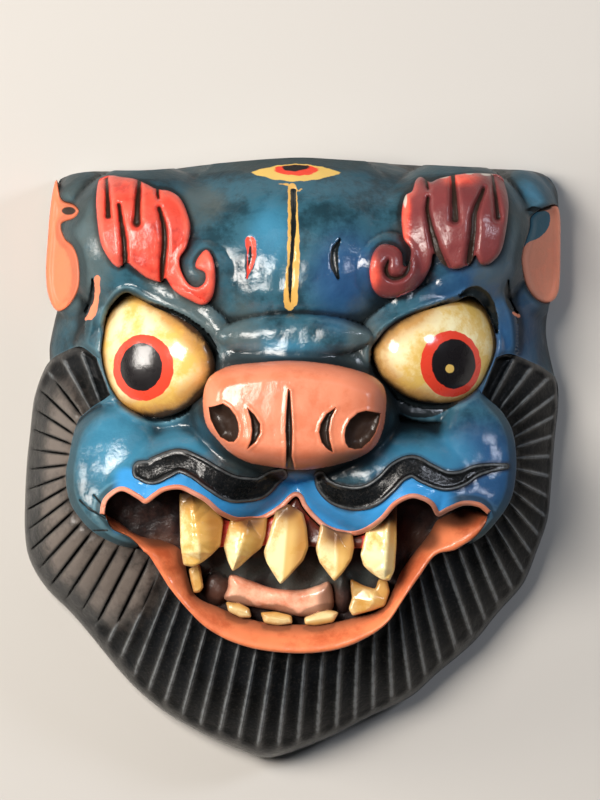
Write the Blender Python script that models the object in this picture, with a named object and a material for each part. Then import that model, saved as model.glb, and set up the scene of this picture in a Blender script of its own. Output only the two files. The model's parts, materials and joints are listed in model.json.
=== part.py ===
"""Carved wooden dragon mask, lying face up on its flat back rim. Tables are in millimetres, the scene in metres.

X runs across the face, Y from the chin to the top of the head, Z out of the face.
"""

import math

import bpy
import numpy as np
from mathutils import Vector
from mathutils.geometry import delaunay_2d_cdt

MM = 0.001
SEAM = 0.3  # the gap left between neighbouring pieces
OUTLINE_STEP = 7.0
CURVE_CUTS = 12  # cuts between two points of an outline, before it is evened out
FINE_STEP = 0.5
CUTTER_TOP_Z = 260.0
SHARP_DEGREES = 50.0

# How each piece is divided: rows at these distances inside its outline, then a grid that keeps clear of the
# rows. Two points are never nearer than apart
DIVISION_COLUMNS = ("piece", "step", "rows", "grid", "clear", "apart")
DIVISIONS = (
    ("shell", 7.0, (2.5, 6.5), 10.2, 10.0, 5.0),
    ("brow", 5.0, (2.0,), 7.5, 4.5, 1.5),
    ("eye", 6.5, (), 8.5, 3.5, 1.0),
    ("nose", 6.0, (1.5, 5.0), 10.0, 9.0, 1.5),
    ("whisker", 5.0, (1.4,), 9.0, 4.0, 1.0),
    ("ear", 5.0, (), 5.0, 2.0, 1.0),
    ("lower lip", 6.0, (2.0, 6.5), 11.0, 10.0, 5.5),
    ("tongue", 5.0, (1.8,), 6.0, 3.5, 1.0),
    ("upper tooth", 4.0, (1.8,), 6.0, 3.5, 1.0),
    ("lower tooth", 3.5, (1.2,), 4.0, 2.2, 0.8),
)
RIB_COUNT = 56
RIB_DEPTH = 3.5
# Across the beard from its outer edge to its inner one: the share of the way, and how much of a rib's depth
BEARD_TOP = ((0.0, 1.0), (0.1, 1.0), (0.4, 1.0), (0.86, 1.0), (1.0, 0.5))
# And back underneath, as shares of the way to the hollow's rim
BEARD_UNDER = (0.0, 0.5, 0.85, 1.0)
LEAST_OPEN = 0.12

# The pillow form of the block
EDGE_HEIGHT = 12.0
CROWN_HEIGHT = 84.0
PILLOW_POWER = 3.0
PILLOW_FALL = 0.6
FORM_CENTRE = (0.0, 5.0)
FORM_BLEND = 2.8
BLEND_LEVEL = 100.0
SIDE_WALL = 74.0  # no mass stands higher than this above the pillow, so that the sides stay rounded

# The hollow for the wearer's face
HOLLOW_CENTRE = (0.0, 10.0)
HOLLOW_HALF_WIDTH = 112.0
HOLLOW_HALF_LENGTH = 142.0
HOLLOW_HEIGHT = 72.0
HOLLOW_POWER = 2.4
HOLLOW_RINGS = (1.0, 0.985, 0.93, 0.8, 0.6, 0.35)
HOLLOW_RING_POINTS = 32
HOLLOW_CLEAR = 2.0
RIM_REACH = 0.9995  # from here outwards the back is the flat rim that the mask lies on

# The wall behind the teeth: its height at MOUTH_Y and its rise per millimetre towards the nose
MOUTH_Z = 81.0
MOUTH_Y = -20.0
MOUTH_RISE = 0.22

# Outline of the head, from the right end of the beard over the top to the left end: x, y
SKULL_EDGE = (
    (149, 44), (147, 50), (143, 72), (146, 95), (148, 117), (150, 142), (148, 154), (140, 161), (123, 163),
    (94, 164), (60, 166), (26, 168), (0, 169), (-41, 166), (-80, 162), (-109, 162), (-125, 160), (-132, 156),
    (-132, 145), (-132, 123), (-130, 95), (-134, 79), (-137, 64), (-137, 55),
)
# Outer and inner edge of the beard, both from the left tip round the chin to the right tip: x, y
BEARD_OUTER = (
    (-110, 57), (-119, 63), (-129, 60), (-137, 55), (-142, 46), (-146, 33), (-148, 16), (-150, -3), (-151, -23),
    (-151, -43), (-148, -58), (-139, -73), (-125, -87), (-113, -101), (-100, -117), (-88, -130), (-72, -143),
    (-49, -156), (-30, -164), (-17, -169), (-4, -167), (7, -163), (24, -156), (43, -146), (66, -135), (82, -121),
    (102, -104), (116, -87), (130, -71), (138, -52), (144, -34), (146, -15), (148, 11), (150, 30), (149, 44),
    (143, 50), (133, 55), (122, 59), (114, 57),
)
BEARD_INNER = (
    (-102, 36), (-106, 33), (-111, 30), (-116, 26), (-120, 22), (-123, 13), (-125, 2), (-127, -9), (-125, -23),
    (-119, -33), (-111, -41), (-98, -48), (-83, -52), (-76, -61), (-69, -72), (-60, -83), (-49, -94), (-35, -102),
    (-18, -107), (4, -109), (24, -107), (40, -101), (53, -92), (62, -79), (71, -66), (80, -54), (91, -51),
    (104, -45), (114, -35), (122, -23), (125, -9), (125, 5), (123, 16), (119, 24), (115, 29), (110, 33), (106, 37),
)
# The blue skin round the corners of the mouth, each from the corner down to the beard: x, y
CORNER_LEFT = ((-105, -31), (-101, -39), (-91, -44), (-83, -52))
CORNER_RIGHT = ((109, -31), (108, -36), (102, -44), (91, -51))
# The upper lip line, from the left corner to the right: x, y
UPPER_LIP = (
    (-105, -31), (-104, -25), (-101, -21), (-95, -18), (-87, -22), (-82, -25), (-76, -21), (-71, -18), (-63, -17),
    (-56, -20), (-49, -24), (-41, -31), (-32, -35), (-24, -35), (-16, -34), (-6, -28), (2, -21), (6, -27),
    (11, -33), (18, -39), (26, -42), (35, -43), (43, -40), (51, -34), (58, -26), (66, -22), (72, -23), (77, -26),
    (81, -32), (88, -29), (96, -26), (104, -27), (109, -31),
)
LIP_EDGE_WIDTH = 2.8
LIP_EDGE_RISE = 0.5
LIP_EDGE_DEPTH = 9.0
LIP_STEP = 6.0
# The lower lip's inner edge, from the left corner to the right: x, y
GUM_EDGE = (
    (-105, -31), (-98, -35), (-86, -43), (-72, -46), (-62, -52), (-59, -65), (-54, -77), (-42, -83), (-30, -87),
    (-14, -91), (4, -92), (21, -91), (35, -88), (48, -85), (55, -74), (57, -60), (66, -55), (77, -49), (88, -41),
    (100, -35), (109, -31),
)

# Rounded masses of the head, blended together. n is how square a mass is: 2 is an ellipsoid
MASS_COLUMNS = ("name", "x", "y", "half_x", "half_y", "turn", "foot_z", "rise", "n")
MASSES = (
    ("crown", 0, 112, 128, 60, 0, 16, 84, 2.6),
    ("forehead", 0, 110, 42, 47, 0, 64, 59, 2.5),
    ("brow mound left", -82, 120, 48, 46, 0, 46, 61, 2.4),
    ("brow mound right", 90, 122, 46, 46, 0, 46, 61, 2.4),
    ("brow knot left", -52, 100, 20, 23, 0, 70, 45, 2.2),
    ("brow knot right", 56, 104, 20, 23, 0, 70, 45, 2.2),
    ("wrinkle roll", 0, 70, 43, 9, 0, 100, 30, 2.0),
    ("snout bridge", 0, 50, 50, 32, 0, 70, 62, 2.4),
    ("snout block", 1, 24, 60, 38, 0, 60, 87, 3.1),
    ("muzzle left", -52, -10, 62, 34, 8, 60, 64, 2.4),
    ("muzzle right", 56, -12, 60, 36, -6, 60, 64, 2.4),
    ("cheek left", -99, -6, 28, 40, 0, 40, 70, 2.3),
    ("cheek right", 103, -4, 26, 42, 0, 40, 70, 2.3),
    ("eye mound left", -76, 52, 48, 46, 0, 44, 48, 2.3),
    ("eye mound right", 80, 58, 46, 44, 0, 44, 48, 2.3),
    ("ear root left", -116, 118, 26, 46, 0, 10, 56, 2.4),
    ("ear root right", 128, 118, 26, 46, 0, 10, 56, 2.4),
)
# Rolls of skin: name, radius, then the line along the middle as x, y, z
ROLL_SIDE = 0.75
ROLL_STEP = 8.0
ROLLS = (
    ("upper lid left", 6.5, (
        (-110, 62, 65), (-110, 76, 73), (-104, 92, 81), (-92, 99, 89), (-78, 94, 96), (-60, 87, 102),
        (-44, 76, 108), (-36, 62, 111), (-35, 46, 110), (-43, 32, 104))),
    ("upper lid right", 6.5, (
        (37, 46, 109), (38, 60, 110), (46, 73, 108), (60, 84, 103), (76, 91, 98), (94, 98, 90),
        (108, 96, 82), (117, 84, 75), (120, 70, 69), (119, 56, 65))),
    ("lower lid left", 4.0, (
        (-110, 62, 67), (-109, 44, 71), (-101, 29, 79), (-88, 20, 87), (-75, 17, 93), (-62, 20, 98),
        (-50, 27, 102), (-43, 32, 104))),
    ("lower lid right", 4.0, (
        (119, 56, 67), (115, 44, 71), (107, 33, 79), (94, 26, 86), (81, 24, 91), (66, 26, 96),
        (52, 33, 102), (42, 43, 106))),
)


def curve_through(points, step, closed=False):
    """A smooth line through the points, cut into even steps."""
    points = np.array(points, float)
    if closed:
        padded = np.vstack([points[-1:], points, points[:2]])
    else:
        padded = np.vstack([2 * points[:1] - points[1:2], points, 2 * points[-1:] - points[-2:-1]])
    fine = []
    t = np.linspace(0, 1, CURVE_CUTS, endpoint=False)[:, None]
    for a, b, c, d in zip(padded, padded[1:], padded[2:], padded[3:]):
        fine.append(0.5 * (2 * b + (c - a) * t + (2 * a - 5 * b + 4 * c - d) * t**2
                           + (3 * b - a - 3 * c + d) * t**3))
    fine.append(points[:1] if closed else points[-1:])
    fine = np.vstack(fine)
    along = np.concatenate([[0], np.cumsum(np.linalg.norm(np.diff(fine, axis=0), axis=1))])
    count = max(4, int(round(along[-1] / step)))
    marks = np.linspace(0, along[-1], count + 1)
    line = np.column_stack([np.interp(marks, along, fine[:, k]) for k in range(fine.shape[1])])
    return line[:-1] if closed else line


def in_parts(points, parts):
    """A smooth line through the points in an exact number of parts."""
    fine = curve_through(points, FINE_STEP)
    along = np.concatenate([[0], np.cumsum(np.linalg.norm(np.diff(fine, axis=0), axis=1))])
    marks = np.linspace(0, along[-1], parts + 1)
    return np.column_stack([np.interp(marks, along, fine[:, k]) for k in range(2)])


def signed_area(outline):
    x, y = outline[:, 0], outline[:, 1]
    return 0.5 * float(np.sum(x * np.roll(y, -1) - y * np.roll(x, -1)))


def anticlockwise(outline):
    outline = np.array(outline, float)
    return outline if signed_area(outline) > 0 else outline[::-1]


def moved_in(outline, distance):
    """The closed outline moved inwards by a distance, or outwards by a negative one."""
    outline = anticlockwise(outline)
    ahead = np.roll(outline, -1, axis=0) - outline
    ahead /= np.linalg.norm(ahead, axis=1)[:, None]
    normal = np.column_stack([-ahead[:, 1], ahead[:, 0]])
    both = normal + np.roll(normal, 1, axis=0)
    both /= np.maximum(np.linalg.norm(both, axis=1)[:, None], 1e-6)
    stretch = 1 / np.clip(np.sum(both * normal, axis=1), 0.5, 1)
    return outline + both * (distance * stretch)[:, None]


def moved_aside(line, distance):
    """The open line moved to its left by a distance."""
    ahead = np.gradient(line, axis=0)
    ahead /= np.linalg.norm(ahead, axis=1)[:, None]
    return line + distance * np.column_stack([-ahead[:, 1], ahead[:, 0]])


def distance_to(points, line, closed=False):
    """How far each point lies from a line of straight pieces, and the third value of the nearest spot on it."""
    line = np.array(line, float)
    ends = np.roll(line, -1, axis=0) if closed else line[1:]
    starts = line if closed else line[:-1]
    best = np.full(len(points), 1e9)
    value = np.zeros(len(points))
    for a, b in zip(starts, ends):
        along = (b - a)[:2]
        t = np.clip((points - a[:2]) @ along / max(float(along @ along), 1e-9), 0, 1)
        gap = np.linalg.norm(points - a[:2] - t[:, None] * along, axis=1)
        nearer = gap < best
        best[nearer] = gap[nearer]
        if line.shape[1] > 2:
            value[nearer] = (a[2] + t * (b[2] - a[2]))[nearer]
    return best, value


def inside(points, outline):
    """Which points lie inside a closed outline."""
    x, y = points[:, 0][:, None], points[:, 1][:, None]
    x0, y0 = outline[:, 0], outline[:, 1]
    x1, y1 = np.roll(x0, -1), np.roll(y0, -1)
    between = (y0 > y) != (y1 > y)
    rise = np.where(y1 == y0, 1e-9, y1 - y0)
    return (between & (x < (x1 - x0) * (y - y0) / rise + x0)).sum(axis=1) % 2 == 1


def hollow_reach(points):
    """0 at the deepest spot of the wearer's hollow and 1 at its rim."""
    x = np.abs(points[:, 0] - HOLLOW_CENTRE[0]) / HOLLOW_HALF_WIDTH
    y = np.abs(points[:, 1] - HOLLOW_CENTRE[1]) / HOLLOW_HALF_LENGTH
    return (x**HOLLOW_POWER + y**HOLLOW_POWER) ** 0.5


def hollow_height(points):
    reach = hollow_reach(points)
    return np.where(reach > RIM_REACH, 0, HOLLOW_HEIGHT * np.sqrt(np.clip(1 - reach**2, 0, 1)))


def mouth_wall(points):
    return MOUTH_Z + (points[:, 1] - MOUTH_Y) * MOUTH_RISE


WHOLE_EDGE = np.vstack([
    curve_through(SKULL_EDGE, OUTLINE_STEP)[:-1],
    curve_through(BEARD_OUTER[3:-4], OUTLINE_STEP),
])


def pillow(points):
    """The rounded block that the mask is carved from."""
    centre = np.array(FORM_CENTRE)
    edge = WHOLE_EDGE - centre
    turn = np.arctan2(edge[:, 1], edge[:, 0])
    order = np.argsort(turn)
    away = points - centre
    reach = np.interp(np.arctan2(away[:, 1], away[:, 0]), turn[order], np.linalg.norm(edge, axis=1)[order],
                      period=2 * math.pi)
    rho = np.clip(np.linalg.norm(away, axis=1) / reach, 0, 1)
    return EDGE_HEIGHT + CROWN_HEIGHT * (1 - rho**PILLOW_POWER) ** PILLOW_FALL


def face_height(points):
    """Height of the blue head."""
    total = np.exp((pillow(points) - BLEND_LEVEL) / FORM_BLEND)
    for row in MASSES:
        mass = dict(zip(MASS_COLUMNS, row))
        turn = math.radians(mass["turn"])
        dx, dy = points[:, 0] - mass["x"], points[:, 1] - mass["y"]
        u = np.abs(dx * math.cos(turn) + dy * math.sin(turn)) / mass["half_x"]
        v = np.abs(dy * math.cos(turn) - dx * math.sin(turn)) / mass["half_y"]
        far = (u * u + v * v) ** (mass["n"] / 2)
        z = mass["foot_z"] + mass["rise"] * np.clip(1 - far, 0, 1) ** (1 / mass["n"])
        total += np.where(far < 1, np.exp((z - BLEND_LEVEL) / FORM_BLEND), 0)
    for _, radius, line in ROLLS:
        gap, middle = distance_to(points, line)
        z = middle + np.sqrt(np.clip(radius**2 - gap**2, 0, None))
        total += np.where(gap < radius, np.exp((z - BLEND_LEVEL) / FORM_BLEND), 0)
    return np.minimum(BLEND_LEVEL + FORM_BLEND * np.log(total), pillow(points) + SIDE_WALL)


def grid_inside(outline, spacing, clear):
    """Points of an even triangular grid that lie inside an outline and clear of it."""
    low, high = outline.min(axis=0), outline.max(axis=0)
    found = []
    for row, y in enumerate(np.arange(low[1], high[1], spacing * 0.866)):
        x = np.arange(low[0] + (row % 2) * spacing / 2, high[0], spacing)
        found.append(np.column_stack([x, np.full(len(x), y)]))
    found = np.vstack(found)
    found = found[inside(found, outline)]
    return found[distance_to(found, outline, True)[0] > clear]


def triangles_over(outline, extra):
    """Triangles that fill an outline and use the extra points."""
    points = np.vstack([outline, extra]) if len(extra) else outline
    count = len(outline)
    edges = [(i, (i + 1) % count) for i in range(count)]
    verts, _, faces, _, _, _ = delaunay_2d_cdt([Vector(p) for p in points], edges, [], 1, 1e-5)
    if len(verts) != len(points):
        raise ValueError("an outline crosses itself")
    return points, [list(f) for f in faces]


def finish(name, verts, faces, colour, roughness):
    """A closed mesh object in its own paint."""
    mesh = bpy.data.meshes.new(name)
    mesh.from_pydata([tuple(MM * c for c in v) for v in verts], [], faces)
    material = bpy.data.materials.new(name)
    material.use_nodes = True
    paint = material.node_tree.nodes["Principled BSDF"]
    paint.inputs["Base Color"].default_value = (*colour, 1)
    paint.inputs["Roughness"].default_value = roughness
    mesh.materials.append(material)
    made = bpy.data.objects.new(name, mesh)
    bpy.context.scene.collection.objects.link(made)
    mesh.shade_smooth()
    mesh.set_sharp_from_angle(angle=math.radians(SHARP_DEGREES))
    return made


def carved(name, outline, top, bottom, paint, top_points=None, bottom_points=None):
    """A block with upright sides. A top or bottom with no points of its own is flat."""
    outline = anticlockwise(outline)
    count = len(outline)
    verts = []
    faces = []
    for height, extra, up in ((top, top_points, True), (bottom, bottom_points, False)):
        start = len(verts)
        if extra is None:
            points = outline
            found = [list(range(count))]
        else:
            points, found = triangles_over(outline, extra)
        verts += [(p[0], p[1], z) for p, z in zip(points, height(points))]
        for face in found:
            face = [start + i for i in face]
            faces.append(face if up else face[::-1])
        if up:
            lower = len(verts)
    for i in range(count):
        j = (i + 1) % count
        faces.append([i, lower + i, lower + j, j])
    return finish(name, verts, faces, *paint)


def pocket(hosts, outline, bottom):
    """Cuts the seat of an inlaid piece into each host."""
    wide = moved_in(outline, -SEAM)
    block = carved("seat", wide, plane(0, 0, CUTTER_TOP_Z), lambda p: bottom(p) - SEAM, PAINTS["dark"])
    for host in hosts:
        cut = host.modifiers.new("seat", "BOOLEAN")
        cut.operation = "DIFFERENCE"
        cut.solver = "EXACT"
        cut.object = block
    block.hide_render = True
    block.display_type = "WIRE"


def plane(x, y, z, rise_x=0.0, rise_y=0.0):
    """The height of a flat, tilted seat that passes through a point."""
    return lambda p: z + (p[:, 0] - x) * rise_x + (p[:, 1] - y) * rise_y


def shoulder(points, outline, width, drop):
    """How much a piece falls away near its outline, as a quarter round."""
    gap = distance_to(points, outline, True)[0]
    near = np.clip(1 - gap / width, 0, 1)
    return drop * (1 - np.sqrt(1 - near**2))


def rows_inside(outline, distances):
    """Rows of points that follow an outline at set distances inside it."""
    kept = [np.empty((0, 2))]
    for distance in distances:
        row = moved_in(outline, distance)
        row = row[inside(row, outline)]
        kept.append(row[distance_to(row, outline, True)[0] > 0.8 * distance])
    return np.vstack(kept)


def division(piece):
    for row in DIVISIONS:
        if row[0] == piece:
            return dict(zip(DIVISION_COLUMNS, row))
    raise ValueError(f"no division for {piece}")


def closed_curve(points, piece):
    """The smooth outline of a piece, anticlockwise."""
    return anticlockwise(curve_through(points, division(piece)["step"], True))


def points_over(outline, piece, *features):
    """The points that shape a piece's top: its features first, then rows, then a grid."""
    cut = division(piece)
    rows = rows_inside(outline, cut["rows"])
    found = np.vstack([*features, rows, grid_inside(outline, cut["grid"], cut["clear"])])
    found = found[inside(found, outline)]
    found = found[distance_to(found, outline, True)[0] > cut["apart"] / 3]
    kept = np.empty((0, 2))
    for p in found:
        if not len(kept) or np.min(np.sum((kept - p) ** 2, axis=1)) > cut["apart"] ** 2:
            kept = np.vstack([kept, p])
    return kept


# Outlines of the inlaid pieces: x, y
BROW_LEFT = (
    (-109, 155), (-106, 158), (-101, 159), (-96, 158), (-89, 157), (-82, 154), (-76, 151), (-69, 150), (-63, 146),
    (-59, 138), (-57, 129), (-59, 119), (-63, 112), (-62, 105), (-58, 98), (-53, 96), (-49, 99), (-49, 104),
    (-54, 107), (-53, 112), (-48, 117), (-44, 111), (-43, 100), (-45, 90), (-50, 86), (-58, 89), (-66, 94),
    (-71, 101), (-74, 99), (-81, 101), (-88, 106), (-93, 110), (-97, 107), (-102, 111), (-107, 120), (-109, 131),
    (-110, 143),
)
BROW_RIGHT = (
    (119, 154), (116, 159), (108, 160), (99, 160), (91, 159), (82, 157), (77, 155), (72, 158), (69, 156),
    (67, 150), (63, 147), (61, 137), (62, 124), (66, 117), (65, 109), (62, 108), (61, 115), (57, 119), (50, 120),
    (45, 115), (43, 105), (45, 95), (51, 90), (61, 91), (71, 97), (77, 107), (79, 115), (84, 109), (91, 106),
    (99, 109), (102, 114), (105, 109), (110, 109), (116, 115), (119, 125), (121, 142),
)
BROW_RISE = 8.0
BROW_SHOULDER = 4.0
BROW_SEAT_Z = 76.0
# Grooves that part the locks of each brow: x, y along the middle
BROW_GROOVES_LEFT = (
    ((-104, 154), (-103, 136)), ((-97, 141), (-95, 124), (-94, 109)), ((-86, 154), (-87, 132)),
    ((-74, 140), (-72, 122), (-73, 101)),
)
BROW_GROOVES_RIGHT = (
    ((76, 146), (77, 128), (82, 111)), ((90, 155), (91, 134)), ((107, 150), (102, 132), (100, 111)),
    ((113, 158), (115, 136)),
)
GROOVE_HALF_WIDTH = 1.6
GROOVE_DEPTH = 5.0
GROOVE_STEP = 6.0

EYE_LEFT = (
    (-106, 69), (-104, 81), (-99, 89), (-93, 93), (-86, 90), (-77, 85), (-63, 79), (-52, 71), (-45, 60), (-43, 51),
    (-46, 40), (-55, 31), (-66, 25), (-77, 23), (-88, 26), (-98, 34), (-104, 45), (-107, 58),
)
EYE_RIGHT = (
    (44, 60), (48, 67), (55, 74), (66, 80), (77, 84), (91, 88), (99, 91), (105, 88), (109, 82), (113, 72),
    (114, 62), (110, 50), (104, 40), (94, 33), (82, 31), (68, 33), (57, 39), (49, 47),
)
EYE_COLUMNS = ("name", "outline", "x", "y", "half_x", "half_y", "foot_z", "rise", "lean")
EYES = (
    ("eye_left", EYE_LEFT, -76, 56, 40, 42, 71, 40, 0.52),
    ("eye_right", EYE_RIGHT, 80, 60, 40, 38, 71, 40, -0.52),
)
EYE_SEAT_Z = 66.0

NOSE = (
    (0, 55), (21, 53), (38, 49), (48, 44), (52, 37), (52, 26), (50, 15), (45, 6), (35, 0), (21, -4), (4, -6),
    (-13, -4), (-24, -2), (-34, 3), (-42, 11), (-48, 19), (-50, 30), (-49, 40), (-45, 47), (-35, 52), (-18, 54),
)
NOSE_HALF_WIDTH = 52.0
NOSE_FRONT_Z = 160.0
NOSE_BULGE = 4.0
NOSE_SHOULDER = 12.0
NOSE_DROP = 22.0
NOSE_SEAT_Z = 114.0
NOSTRIL_COLUMNS = ("x", "y", "half_x", "half_y", "turn", "depth")
NOSTRILS = ((-38, 20, 8.0, 10.5, 12, 9.0), (38, 16, 8.5, 10.5, -12, 9.0))
NOSTRIL_RINGS = (1.0, 0.86, 0.45)
NOSTRIL_POINTS = 12
# Cuts in the nose: half width, depth, then the line
NOSE_CUTS = (
    (1.7, 3.0, ((-2, 40), (-2, 16), (-1, -3))),
    (2.2, 2.5, ((-25, 29), (-18, 18), (-24, 7))),
    (2.2, 2.5, ((24, 28), (15, 17), (22, 5))),
)

# Whiskers: x, y, half width along the middle
WHISKER_LEFT = (
    (-86, -6, 5.5), (-79, -7, 7.5), (-72, -4, 7.5), (-63, -1, 7), (-53, -5, 7), (-44, -11, 7.5), (-35, -16, 8),
    (-27, -17, 7.5), (-18, -16, 6.5), (-11, -11, 5), (-5, -8, 3.5),
)
WHISKER_RIGHT = (
    (15, -9, 3.5), (18, -15, 5), (25, -20, 6.5), (35, -22, 7), (44, -20, 7), (52, -14, 6.5), (59, -7, 6.5),
    (67, -4, 6.5), (75, -8, 6.5), (85, -12, 6), (94, -11, 5), (102, -7, 4), (110, -5, 3), (120, -4, 1.8),
)
RIBBON_END = 0.7
WHISKER_RISE = 2.5
WHISKER_SHOULDER = 2.0
WHISKER_SEAT_Z = 86.0

EAR_LEFT = (
    (-133, 157), (-130, 146), (-123, 143), (-120, 139), (-123, 135), (-130, 132), (-128, 124), (-123, 119),
    (-120, 110), (-120, 97), (-125, 87), (-132, 83), (-137, 90), (-139, 103), (-138, 123), (-136, 145),
)
EAR_RIGHT = (
    (141, 141), (134, 136), (133, 129), (129, 116), (129, 107), (132, 96), (138, 89), (145, 88), (150, 95),
    (151, 117), (150, 141),
)
EAR_COLUMNS = ("name", "outline", "x", "front_z", "slope")
EARS = (("ear_left", EAR_LEFT, -120, 50, 1.1), ("ear_right", EAR_RIGHT, 129, 50, -1.1))
EAR_SEAT_Z = 16.0
EAR_SHOULDER = 3.0

GUM_LOWER = (
    (57, -46), (45, -50), (33, -50), (22, -53), (11, -49), (0, -51), (-14, -48), (-24, -52), (-36, -49),
    (-48, -50), (-61, -44),
)
GUM_TOP_Z = 96.0
GUM_BELOW_LIP = 0.8
UPPER_TOOTH_Z = 112.0
UPPER_TOOTH_ROUND = 7.0
UPPER_TOOTH_DROP = 9.0
LOWER_TOOTH_RISE = 17.0
LOWER_TOOTH_ROUND = 3.5
LOWER_TOOTH_DROP = 5.0
UPPER_TEETH = (
    ((-63, -25), (-57, -23), (-48, -28), (-41, -35), (-39, -48), (-49, -54), (-59, -61), (-62, -57)),
    ((-36, -38), (-18, -38), (-16, -48), (-25, -56), (-33, -62), (-36, -53), (-38, -46)),
    ((-12, -37), (-4, -32), (4, -32), (9, -45), (4, -57), (-6, -70), (-12, -60), (-14, -51)),
    ((15, -42), (30, -46), (35, -52), (31, -58), (25, -68), (17, -60), (12, -52)),
    ((38, -51), (43, -44), (52, -37), (57, -31), (59, -45), (58, -66), (53, -67), (45, -61), (38, -55)),
)
LOWER_TEETH = (
    ((-59, -60), (-53, -57), (-50, -65), (-50, -73), (-55, -76), (-59, -71)),
    ((-39, -80), (-30, -81), (-25, -87), (-34, -88)),
    ((-16, -88), (-8, -87), (1, -89), (-1, -94), (-14, -94)),
    ((7, -90), (17, -88), (25, -87), (21, -93), (9, -94)),
    ((34, -67), (41, -68), (52, -66), (53, -73), (50, -82), (42, -86), (35, -86), (31, -80), (35, -74)),
)
TONGUE = (
    (-40, -71), (-35, -64), (-23, -66), (-7, -69), (8, -72), (22, -71), (27, -76), (23, -83), (8, -85),
    (-10, -84), (-30, -79),
)
TONGUE_RISE = 12.0
TONGUE_SHOULDER = 5.0
TONGUE_DROP = 7.0

LIP_RIM_Z = 98.0
LIP_RIM_Y = -31.0
LIP_RIM_FALL = 0.09
LIP_RIM_ROUND = 5.0
LIP_RIM_DROP = 4.0
LIP_SCOOP = 15.0
LIP_SCOOP_POWER = 1.3

# Paints: the colour as red, green, blue in the scene's linear values, and the roughness
PAINTS = {
    "blue": ((0.03, 0.11, 0.17), 0.3),
    "black": ((0.015, 0.017, 0.02), 0.45),
    "red": ((0.55, 0.06, 0.04), 0.3),
    "yellow": ((0.75, 0.62, 0.22), 0.25),
    "pink": ((0.72, 0.24, 0.15), 0.35),
    "orange": ((0.65, 0.15, 0.08), 0.35),
    "dark": ((0.012, 0.008, 0.008), 0.6),
    "tooth": ((0.75, 0.5, 0.14), 0.3),
}


def ribbon(rows, step):
    """The outline of a band from its middle line and half widths, with rounded ends."""
    line = curve_through(rows, step)
    ahead = np.gradient(line[:, :2], axis=0)
    ahead /= np.linalg.norm(ahead, axis=1)[:, None]
    side = np.column_stack([-ahead[:, 1], ahead[:, 0]]) * line[:, 2:]
    reach = ahead * line[:, 2:] * RIBBON_END
    return np.vstack([
        line[:1, :2] - reach[:1],
        line[:, :2] - side,
        line[-1:, :2] + reach[-1:],
        (line[:, :2] + side)[::-1],
    ])


def groove(points, line, half_width, depth):
    gap = distance_to(points, line)[0]
    return depth * np.clip(1 - (gap / half_width) ** 2, 0, 1)


def groove_points(line, half_width, step):
    """Points along a groove and both its edges."""
    middle = curve_through(line, step)
    return np.vstack([middle, moved_aside(middle, half_width), moved_aside(middle, -half_width)])


def turned(points, x, y, degrees):
    """Points seen from a spot, along axes turned by an angle."""
    turn = math.radians(degrees)
    dx, dy = points[:, 0] - x, points[:, 1] - y
    return dx * math.cos(turn) + dy * math.sin(turn), dy * math.cos(turn) - dx * math.sin(turn)


def hollow_points(outline):
    """Points on the wearer's hollow in rings that follow its rim."""
    turn = np.linspace(0, 2 * math.pi, HOLLOW_RING_POINTS, endpoint=False)
    way = np.column_stack([np.cos(turn), np.sin(turn)])
    rim = way / (np.abs(way[:, :1] / HOLLOW_HALF_WIDTH) ** HOLLOW_POWER
                 + np.abs(way[:, 1:] / HOLLOW_HALF_LENGTH) ** HOLLOW_POWER) ** (1 / HOLLOW_POWER)
    rings = [rim * ring ** (2 / HOLLOW_POWER) + HOLLOW_CENTRE for ring in HOLLOW_RINGS]
    found = np.vstack([*rings, [HOLLOW_CENTRE]])
    found = found[inside(found, outline)]
    return found[distance_to(found, outline, True)[0] > HOLLOW_CLEAR]


def make_shell(outline):
    """The blue head, open behind."""
    inset = moved_in(outline, SEAM / 2)
    rolls = [groove_points([p[:2] for p in line], radius * ROLL_SIDE, ROLL_STEP) for _, radius, line in ROLLS]
    return carved("face_shell", inset, face_height, hollow_height, PAINTS["blue"],
                  points_over(inset, "shell", *rolls), hollow_points(inset))


def make_beard(inner, outer):
    """The ribbed collar, in sections that run from its outer edge to its inner one and back underneath."""
    band = moved_in(np.vstack([outer, inner[::-1]]), SEAM / 2)
    outer, inner = band[:len(outer)], band[len(outer):][::-1]
    verts = []
    for i, (near, far) in enumerate(zip(inner, outer)):
        row = far + (near - far) * np.array([share for share, _ in BEARD_TOP])[:, None]
        cut = RIB_DEPTH * np.array([depth for _, depth in BEARD_TOP]) if i % 2 else 0.0
        verts += [(p[0], p[1], z) for p, z in zip(row, pillow(row) - cut)]
        steps = near + (far - near) * np.linspace(0, 1, 101)[:, None]
        open_to = max(np.mean(hollow_reach(steps) < 1), LEAST_OPEN)
        row = near + (far - near) * open_to * np.array(BEARD_UNDER)[:, None]
        verts += [(p[0], p[1], z) for p, z in zip(row[:-1], hollow_height(row[:-1]))]
        verts += [(p[0], p[1], 0.0) for p in (row[-1], far)]
    size = len(BEARD_TOP) + len(BEARD_UNDER) + 1
    last = (len(inner) - 1) * size
    faces = [list(range(size)), list(range(last, last + size))[::-1]]
    for start in range(0, last, size):
        for k in range(size):
            a, b = start + k, start + (k + 1) % size
            faces.append([a, a + size, b + size, b])
    return finish("beard_ruff", verts, faces, *PAINTS["black"])


def make_brow(name, points, grooves, shell):
    outline = closed_curve(points, "brow")

    def top(p):
        z = face_height(p) + BROW_RISE - shoulder(p, outline, BROW_SHOULDER, GROOVE_DEPTH)
        return z - sum(groove(p, line, GROOVE_HALF_WIDTH, GROOVE_DEPTH) for line in grooves)

    seat = plane(0, 0, BROW_SEAT_Z)
    lines = [groove_points(line, GROOVE_HALF_WIDTH, GROOVE_STEP) for line in grooves]
    carved(name, outline, top, seat, PAINTS["red"], points_over(outline, "brow", *lines))
    pocket([shell], outline, seat)


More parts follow.
